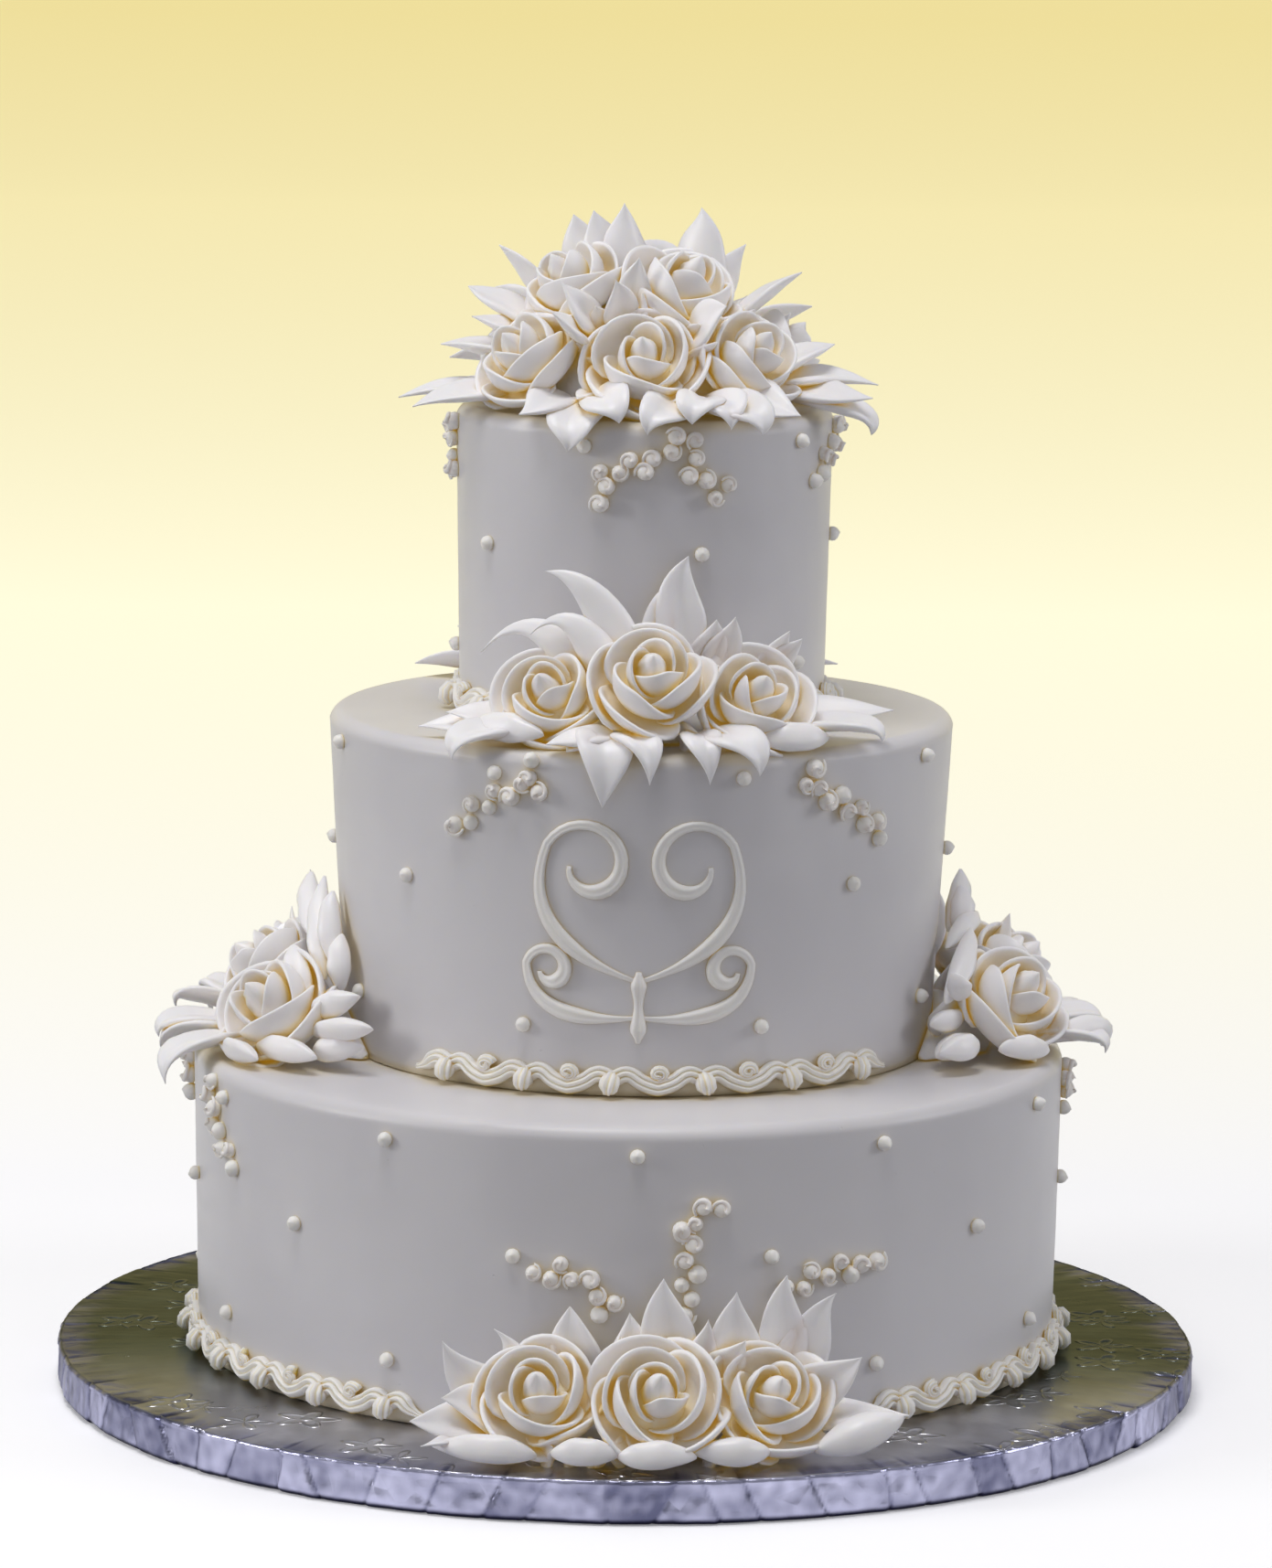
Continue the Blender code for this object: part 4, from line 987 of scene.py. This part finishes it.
pearls = {
    "pearlRadius": 2.9,
    "beadRadius": 3.5,
    "spacing": 1.6,
    "sway": 0.62,
    # height, bearing of the first, degrees to the next, how many
    "rows": {
        "bottom": ((128, 1.3, 32.7, 11), (88, -14.2, 32.7, 11), (42, -31.6, 32.7, 11)),
        "middle": ((263, 18.3, 45, 8), (218, 42.4, 45, 7), (165.5, -21.7, 45, 8)),
        "top": ((384, -18.0, 72, 5), (342.5, 17.6, 72, 5), (297, 55.2, 72, 5)),
    },
    # turning points (bearing, height) of the line that each spray follows
    "sprays": {
        "bottom": (
            ((-11.3, 80), (-7.4, 84.5), (-4.4, 78), (-2.0, 73.5), (-2.6, 65)),
            ((8.0, 67), (7.4, 75), (8.4, 84.5), (7.7, 94), (7.6, 103), (12.2, 110.7)),
            ((20.9, 74), (24.2, 79.5), (27.5, 82), (31.0, 79.5), (33.6, 86)),
            ((-69, 132), (-68.5, 124), (-67, 114), (-64, 108), (-60, 101)),
            ((-88, 132), (-89, 122), (-87, 112)),
            ((-109, 132), (-110, 123), (-106, 114)),
            ((86, 132), (85, 123), (86, 114)),
            ((110, 132), (112, 122), (109, 112), (104, 106)),
            ((166, 72), (164, 82), (158, 90)),
            ((184, 78), (186, 88), (184, 98)),
            ((200, 76), (205, 82), (212, 84)),
        ),
        "middle": (
            ((-20.5, 268), (-18.0, 259), (-25.0, 256), (-31.5, 247), (-35.5, 236)),
            ((31.0, 265), (31.8, 256), (37.0, 253), (42.0, 247), (50.0, 235)),
            ((164, 262), (160, 252), (150, 242)),
            ((206, 262), (212, 250), (220, 240)),
        ),
        "top": (
            ((14.0, 389), (6.5, 384), (3.0, 377), (-7.0, 377), (-13.5, 371), (-10.0, 358)),
            ((13.5, 379), (15.5, 371), (21.0, 366.5), (29.5, 367.5)),
            ((-82, 388), (-86, 380), (-82, 371), (-87, 364)),
            ((88, 388), (80, 380), (68, 375), (62, 363)),
            ((174, 384), (182, 372), (178, 362)),
        ),
    },
}
# The radius, rise and depth of each ring of a bead; the low depth at its foot paints shade under it.
beadRings = ((0.80, -0.60, 0.1), (0.98, -0.2, 0.3), (1.0, 0.1, 0.6), (0.92, 0.40, 0.9),
             (0.70, 0.70, 1.0), (0.42, 0.88, 1.0), (0.22, 0.98, 1.0), (0.08, 1.08, 1.0))


def beadPlace(wall, bearing, height, radius):
    # the middle of a bead, the way out from the wall and the way along it
    way = outwards(bearing)
    return around(wall, bearing, wallRadius(wall, height) + radius * 0.25, height), way, up.cross(way)


def pipeDot(icing, wall, bearing, height, radius, curl):
    # a pressed ball of icing with the little tail where the bag was drawn away
    middle, way, side = beadPlace(wall, bearing, height, radius)
    lean = spin(side, up, curl)
    rings = []
    for reach, rise, depth in beadRings:
        spot = middle + lean * max(0.0, rise - 0.6) * radius * 0.7 + way * rise * radius
        rings.append([(spot + spin(side, up, a) * reach * radius, depth) for a in circle(12)])
    icing.loft(rings)


def pipeTail(icing, wall, bearing, height, radius, curl):
    # the thread of icing that winds off a bead and ends beside it
    middle, way, side = beadPlace(wall, bearing, height, radius)
    rings = []
    for share in steps(11):
        turn = curl + 4.6 * share
        reach = radius * (0.25 + 1.0 * share)
        spot = middle + spin(side, up, turn) * reach + way * (radius * (0.92 - 0.70 * share))
        flank = spin(up, -side, turn).cross(way).normalized()
        size = radius * (0.46 - 0.30 * share)
        rings.append([(spot + spin(flank, way, a) * size, 0.9) for a in circle(8)])
    icing.loft(rings)


def sprayPlaces(wall, line):
    radius = tiers[wall]["base"] * mm
    flat = [Vector((radians(bearing) * radius, height * mm)) for bearing, height in line]
    step = pearls["spacing"] * pearls["beadRadius"] * mm
    spots = []
    left = 0.0
    sway = 1
    for one, two in zip(flat, flat[1:]):
        run = (two - one).length
        along = (two - one).normalized()
        across = Vector((-along.y, along.x))
        while left <= run:
            spot = one + along * left + across * sway * pearls["beadRadius"] * mm * pearls["sway"]
            spots.append((degrees(spot.x / radius), spot.y))
            sway = -sway
            left += step
        left -= run
    return spots


def strewPearls(wall, finish):
    icing = Icing()
    for line in pearls["sprays"][wall]:
        for bearing, height in sprayPlaces(wall, line):
            size = pearls["beadRadius"] * mm * rng.uniform(0.82, 1.04)
            curl = rng.uniform(0, 6.28)
            pipeDot(icing, wall, bearing, height, size, curl)
            if rng.random() < 0.8:
                pipeTail(icing, wall, bearing, height, size, curl)
    for height, first, apart, count in pearls["rows"][wall]:
        for number in range(count):
            bearing = first + apart * number
            pipeDot(icing, wall, bearing, height * mm, pearls["pearlRadius"] * mm, rng.uniform(0, 6.28))
    icing.serve(wall + "_pearls", "tier_" + wall, finish)


# Borders

border = {
    "wave": 33.0,
    "low": 3.7,            # height of the ribbon's middle in a trough
    "high": 9.3,           # and towards a crest
    "notch": 2.3,          # how far it dips between the two crests of a wave
    "notchWidth": 0.07, "out": 0.4,
    "half": 3.5,           # half of the ribbon's width
    "thick": 2.6, "ridges": 3, "ridgeHeight": 1.7, "perWave": 44, "sides": 25,
    "shell": 3.3,          # radius of the shell that hangs from a notch
    # its line from the notch to its foot: how far it leans, out, up, and its girth
    "shellLine": ((0.0, 1.6, 8.4, 0.45), (0.2, 3.2, 7.8, 0.85), (0.6, 4.4, 6.0, 1.05), (1.0, 4.6, 3.9, 1.0),
                  (1.2, 4.0, 2.2, 0.62), (1.2, 3.4, 1.5, 0.25)),
    "rosette": 2.3,        # reach of the curl that sits over a trough
    "ropeSides": 28, "ropeRidges": 7, "ropeDepth": 0.20,
}
borders = {
    "border_board_right": ("bottom", 32.0, 152.0),
    "border_board_left": ("bottom", 214.0, 334.0),
    "border_ledge_front": ("middle", -46.0, 54.0),
    "border_ledge_back": ("middle", 138.0, 226.0),
    "border_top_right": ("top", 48.0, 138.0),
    "border_top_left": ("top", 230.0, 318.0),
}


def ribbonRing(spot, heading, out, size):
    # one section of the ribbon: a flat back, and rounded ridges with narrow grooves between
    flank = heading.cross(out).normalized()
    face = flank.cross(heading)
    ring = []
    for side in range(border["sides"]):
        x = 1 - 2 * side / (border["sides"] - 1)
        swell = sqrt(max(0.0, 1 - x * x))
        ridge = abs(cos(x * pi * border["ridges"] / 2))
        rise = border["thick"] * swell * 0.8 + border["ridgeHeight"] * ridge * sqrt(swell)
        # painted shade in the grooves: their depth is low, the ridges' high
        ring.append((spot + (flank * x * border["half"] + face * rise) * size * mm, 0.05 + 0.95 * ridge))
    return ring


def ropeRing(spot, heading, out, size):
    # one section of a rope of icing, ridged all round
    flank = heading.cross(out).normalized()
    rise = flank.cross(heading)
    ring = []
    for angle in circle(border["ropeSides"]):
        ridge = cos(angle * border["ropeRidges"])
        reach = size * (1 + border["ropeDepth"] * ridge)
        # painted shade in the grooves of the rope: their depth is low
        ring.append((spot + spin(flank, rise, angle) * reach, 0.50 + 0.50 * ridge))
    return ring


def pipeRope(icing, line, section):
    # a rope along the stations (place, way out, size) of a line
    ways = headings([station[0] for station in line])
    icing.loft([section(spot, way, out, size) for way, (spot, out, size) in zip(ways, line)])


def borderLevel(part):
    # one wave of the ribbon: a trough at its ends, two crests with a notch between them
    swing = (0.5 - 0.5 * cos(2 * pi * part)) ** 0.6
    notch = border["notch"] * exp(-((part - 0.5) / border["notchWidth"]) ** 2)
    return border["low"] + (border["high"] - border["low"]) * swing - notch


def pipeBorder(name, finish):
    # a ribbon that swings up and down, a shell under each notch and a curl over each trough
    wall, first, last = borders[name]
    base = tiers[wall]["base"]
    floor = tierFloor(wall) + 0.3 * mm
    waves = round(radians(last - first) * base / border["wave"])
    degree = degrees(1 / base)
    icing = Icing()

    def station(bearing, out, level, way, size):
        return around(wall, bearing, (base + out) * mm, floor + level * mm), way, size

    drift = [vary(0.6) for _ in range(waves + 2)]
    line = []
    for step in range(waves * border["perWave"] + 1):
        turn = step / border["perWave"]
        low, part = int(turn), turn % 1
        loose = drift[low] * (1 - ease(part)) + drift[low + 1] * ease(part)
        bearing = first + (last - first) * turn / waves + degree * loose
        bearing += degree * 1.2 * sin(4 * pi * turn)
        out = border["out"] + 0.7 * sin(2 * pi * turn + 1.0)
        way = (outwards(bearing) + up * 0.35).normalized()
        size = (0.35 + 0.65 * ease(min(turn, waves - turn) * 4)) * (1 + 0.08 * loose)
        line.append(station(bearing, out, borderLevel(part) + loose * 0.4, way, size))
    pipeRope(icing, line, ribbonRing)
    for half in range(1, 2 * waves):
        bearing = first + (last - first) * half / 2 / waves + degree * drift[half // 2]
        way = outwards(bearing)
        if half % 2:
            lean = vary(1.4)
            line = [station(bearing + degree * (lean * share), out, level, way, border["shell"] * mm * girth)
                    for share, out, level, girth in border["shellLine"]]
        else:
            line = []
            for share in steps(15):
                angle = share * 7.4 + drift[half // 2] * 3
                reach = border["rosette"] * (1.1 - 0.85 * share)
                side = degree * reach * cos(angle) * 1.15
                level = 9.2 + reach * sin(angle) * 0.9
                size = mm * 1.9 * (1 - 0.5 * share)
                line.append(station(bearing + side, 1.4 + 1.9 * share, level, way, size))
        pipeRope(icing, line, ropeRing)
    icing.serve(name + "_rope", name, finish)


# The scroll on the middle tier, in millimetres from its middle

scroll = {
    "bearing": 0.0, "middle": 206.0, "width": 5.9, "rise": 3.1,
    "strokes": (
        {"start": (0, -22), "swell": (50, -6), "turn": (36, 31), "eye": (20, 23)},
        {"start": (0, -36), "swell": (43, -40), "turn": (44, -16), "eye": (35, -18)},
    ),
    "stem": (-46, -18), "steps": 26,
}


def scrollPath(stroke):
    start, swell, turn, eye = (Vector(stroke[key]) for key in ("start", "swell", "turn", "eye"))
    points = [bezier(start, swell, turn, share) for share in steps(scroll["steps"])[:-1]]
    arm = turn - eye
    hand = 1 if arm.cross(swell - turn) < 0 else -1
    for share in steps(scroll["steps"]):
        spun = Matrix.Rotation(hand * radians(330 * share), 2) @ arm
        points.append(eye + spun * (1 - 0.6 * share))
    return points


def pipeStroke(icing, points, mirror):
    # a flat rounded line with a soft furrow, thin where it starts and ends
    rings = []
    for number, (point, along) in enumerate(zip(points, headings(points))):
        across = Vector((-along.y, along.x))
        share = number / (len(points) - 1)
        swell = 0.35 + 0.65 * ease(min(share, 1 - share) * 5)
        swell *= 0.85 + 0.25 * sin(share * 9)
        ring = []
        for side in range(13):
            x = cos(pi * side / 12)
            y = sin(pi * side / 12) * (1 - 0.28 * exp(-(x * 3) ** 2))
            spot = point + across * x * swell * scroll["width"] / 2
            height = (scroll["middle"] + spot.y) * mm
            radius = wallRadius("middle", height) + (y * swell * scroll["rise"] - 0.3) * mm
            bearing = scroll["bearing"] + degrees(mirror * spot.x * mm / radius)
            # painted shade along the stroke's edges, where it meets the wall: their depth is low
            ring.append((around("middle", bearing, radius, height), 0.35 + 0.65 * y))
        rings.append(ring)
    icing.loft(rings)


def pipeScroll(finish):
    icing = Icing()
    for stroke in scroll["strokes"]:
        for mirror in (-1, 1):
            pipeStroke(icing, scrollPath(stroke), mirror)
    low, high = scroll["stem"]
    pipeStroke(icing, [Vector((0, low + (high - low) * share)) for share in steps(20)], 1)
    icing.serve("scroll_strokes", "piped_scroll", finish)


# The foil board

board = {
    "segments": 1300,
    "topRows": (20, 90, 140, 165, 180, 192, 200, 206, 211, 215, 218, 220.5, 222.5, 224.3, 226),
    "edge": ((227.2, 17.4), (228.0, 16.7), (228.4, 15.6)),
    "sideRows": (14.5, 13.3, 12.1, 10.9, 9.7, 8.5, 7.3, 6.1, 4.9, 3.7, 2.5, 1.4, 0.5),
    "side": 228.4, "lid": 17.7,
    "tuck": 2.6,           # how far its foot tucks in
    "folds": 66, "foldsFrom": 205,
    "panel": 1.7,          # how far the panels between the folds lean in
    "crease": 0.9, "crumple": 0.7, "puckers": 0.35,
}


def foldPlan():
    # folds of the foil, and how the panel after each leans: at its start, its end and upwards
    return [{
        "bearing": 360 * (number + rng.uniform(0.22, 0.78)) / board["folds"],
        "slant": vary(0.15),
        "start": rng.uniform(0.15, 1.0),
        "end": rng.uniform(0.15, 1.0),
        "lean": vary(0.7),
        "tone": rng.uniform(0.1, 1.0),
    } for number in range(board["folds"])]


def foldDepth(plan, bearing, height):
    # how deep the foil lies in its panels and the narrow creases between them, and its tone: random for each
    # panel, with painted shade that darkens the creases and lightens or darkens each panel as it leans
    edges = [fold["bearing"] + fold["slant"] * (height - 9) for fold in plan]
    number = min(range(len(plan)), key=lambda one: (bearing - edges[one]) % 360)
    fold = plan[number]
    away = (bearing - edges[number]) % 360
    wide = away + (edges[(number + 1) % len(plan)] - bearing) % 360
    sunk = fold["start"] + (fold["end"] - fold["start"]) * away / wide
    sunk = board["panel"] * (sunk + fold["lean"] * (height / 18 - 0.5))
    crease = exp(-(away / 0.22) ** 2) + exp(-((wide - away) / 0.22) ** 2)
    sunk += board["crease"] * crease
    way = outwards(bearing)
    broad = noise.noise(way * 21 + up * height * 0.09)
    fine = noise.noise(way * 47 + up * (height * 0.2 + 9))
    # painted shade: the creases darker, and each panel lighter or darker as it leans; the rest of the tone
    # is random
    tone = fold["tone"] * (1 - 0.8 * crease) + 0.5 * fine - fold["lean"] * (height / 18 - 0.5) * 0.8
    return max(0.0, sunk + board["crumple"] * (abs(broad) + 0.6 * abs(fine))), min(max(tone, 0.0), 1.0)


def layFoil(finish):
    plan = foldPlan()
    side, lid = board["side"], board["lid"]
    profile = [(0.5, 0.0), (side - board["tuck"], 0.0)]
    profile += [(side - board["tuck"] * max(0.0, 1 - height / 3) ** 2, height)
                for height in board["sideRows"][::-1]]
    profile += list(board["edge"][::-1])
    profile += [(radius, lid) for radius in (*board["topRows"][::-1], 0.5)]
    rings = []
    for radius, height in profile:
        ring = []
        for step in range(board["segments"]):
            bearing = 360 * step / board["segments"]
            reach = radius
            sag = 0.0
            tone = 1.0
            if radius > board["foldsFrom"]:
                dip, tone = foldDepth(plan, bearing, height)
                dip *= ease((radius - board["foldsFrom"]) / 22)
                if height == lid:
                    sag = 0.45 * dip
                else:
                    reach -= dip * (0.55 if height > 15 else 1.0)
            if height == lid and radius > 150:
                spot = outwards(bearing) * radius
                pucker = abs(noise.noise(spot * 0.07 + up * 3)) + 0.5 * abs(noise.noise(spot * 0.2))
                sag += board["puckers"] * pucker * ease((radius - 168) / 25)
            ring.append((outwards(bearing) * reach * mm + up * (height - sag) * mm, tone))
        rings.append(ring)
    icing = Icing()
    icing.loft(rings)
    icing.serve("foil_board", "cake_board", finish)


# Floor

sweep = {"half": 7.0, "front": -7.0, "back": 6.2, "bend": 1.5, "top": 3.2, "steps": 24}


def laySweep():
    # a pale floor that turns up into the backdrop behind the cake, and lights nothing else
    path = [(sweep["front"], 0.0)]
    for share in steps(sweep["steps"]):
        angle = radians(90 * share)
        path.append((sweep["back"] + sweep["bend"] * sin(angle), sweep["bend"] * (1 - cos(angle))))
    path.append((sweep["back"] + sweep["bend"], sweep["top"]))
    points = [(x, y, z - 0.0002) for y, z in path for x in (-sweep["half"], sweep["half"])]
    faces = [(2 * n, 2 * n + 1, 2 * n + 3, 2 * n + 2) for n in range(len(path) - 1)]
    mesh = bpy.data.meshes.new("floor")
    mesh.from_pydata(points, [], faces)
    mesh.shade_smooth()
    mesh.materials.append(floorFinish("paleFloor"))
    floor = show("floor", mesh)
    floor.visible_diffuse = False


placeCamera()
placeLights()
laySweep()
print("camera, lights and floor")

layFoil(foilFinish("foil"))
for tierName in tiers:
    spreadTier(tierName)
print("board and tiers")

petalCream = pipedFinish("petalCream", petalLook)
pipedCream = pipedFinish("pipedCream", pipingLook)
for clusterName, clusterPlan in clusters.items():
    dressCluster(clusterName, clusterPlan, petalCream)
dressTop(petalCream)
print("roses and leaves")

for tierName in tiers:
    strewPearls(tierName, pipedCream)
for borderName in borders:
    pipeBorder(borderName, pipedCream)
pipeScroll(pipedCream)
print("pearls, borders and scroll")
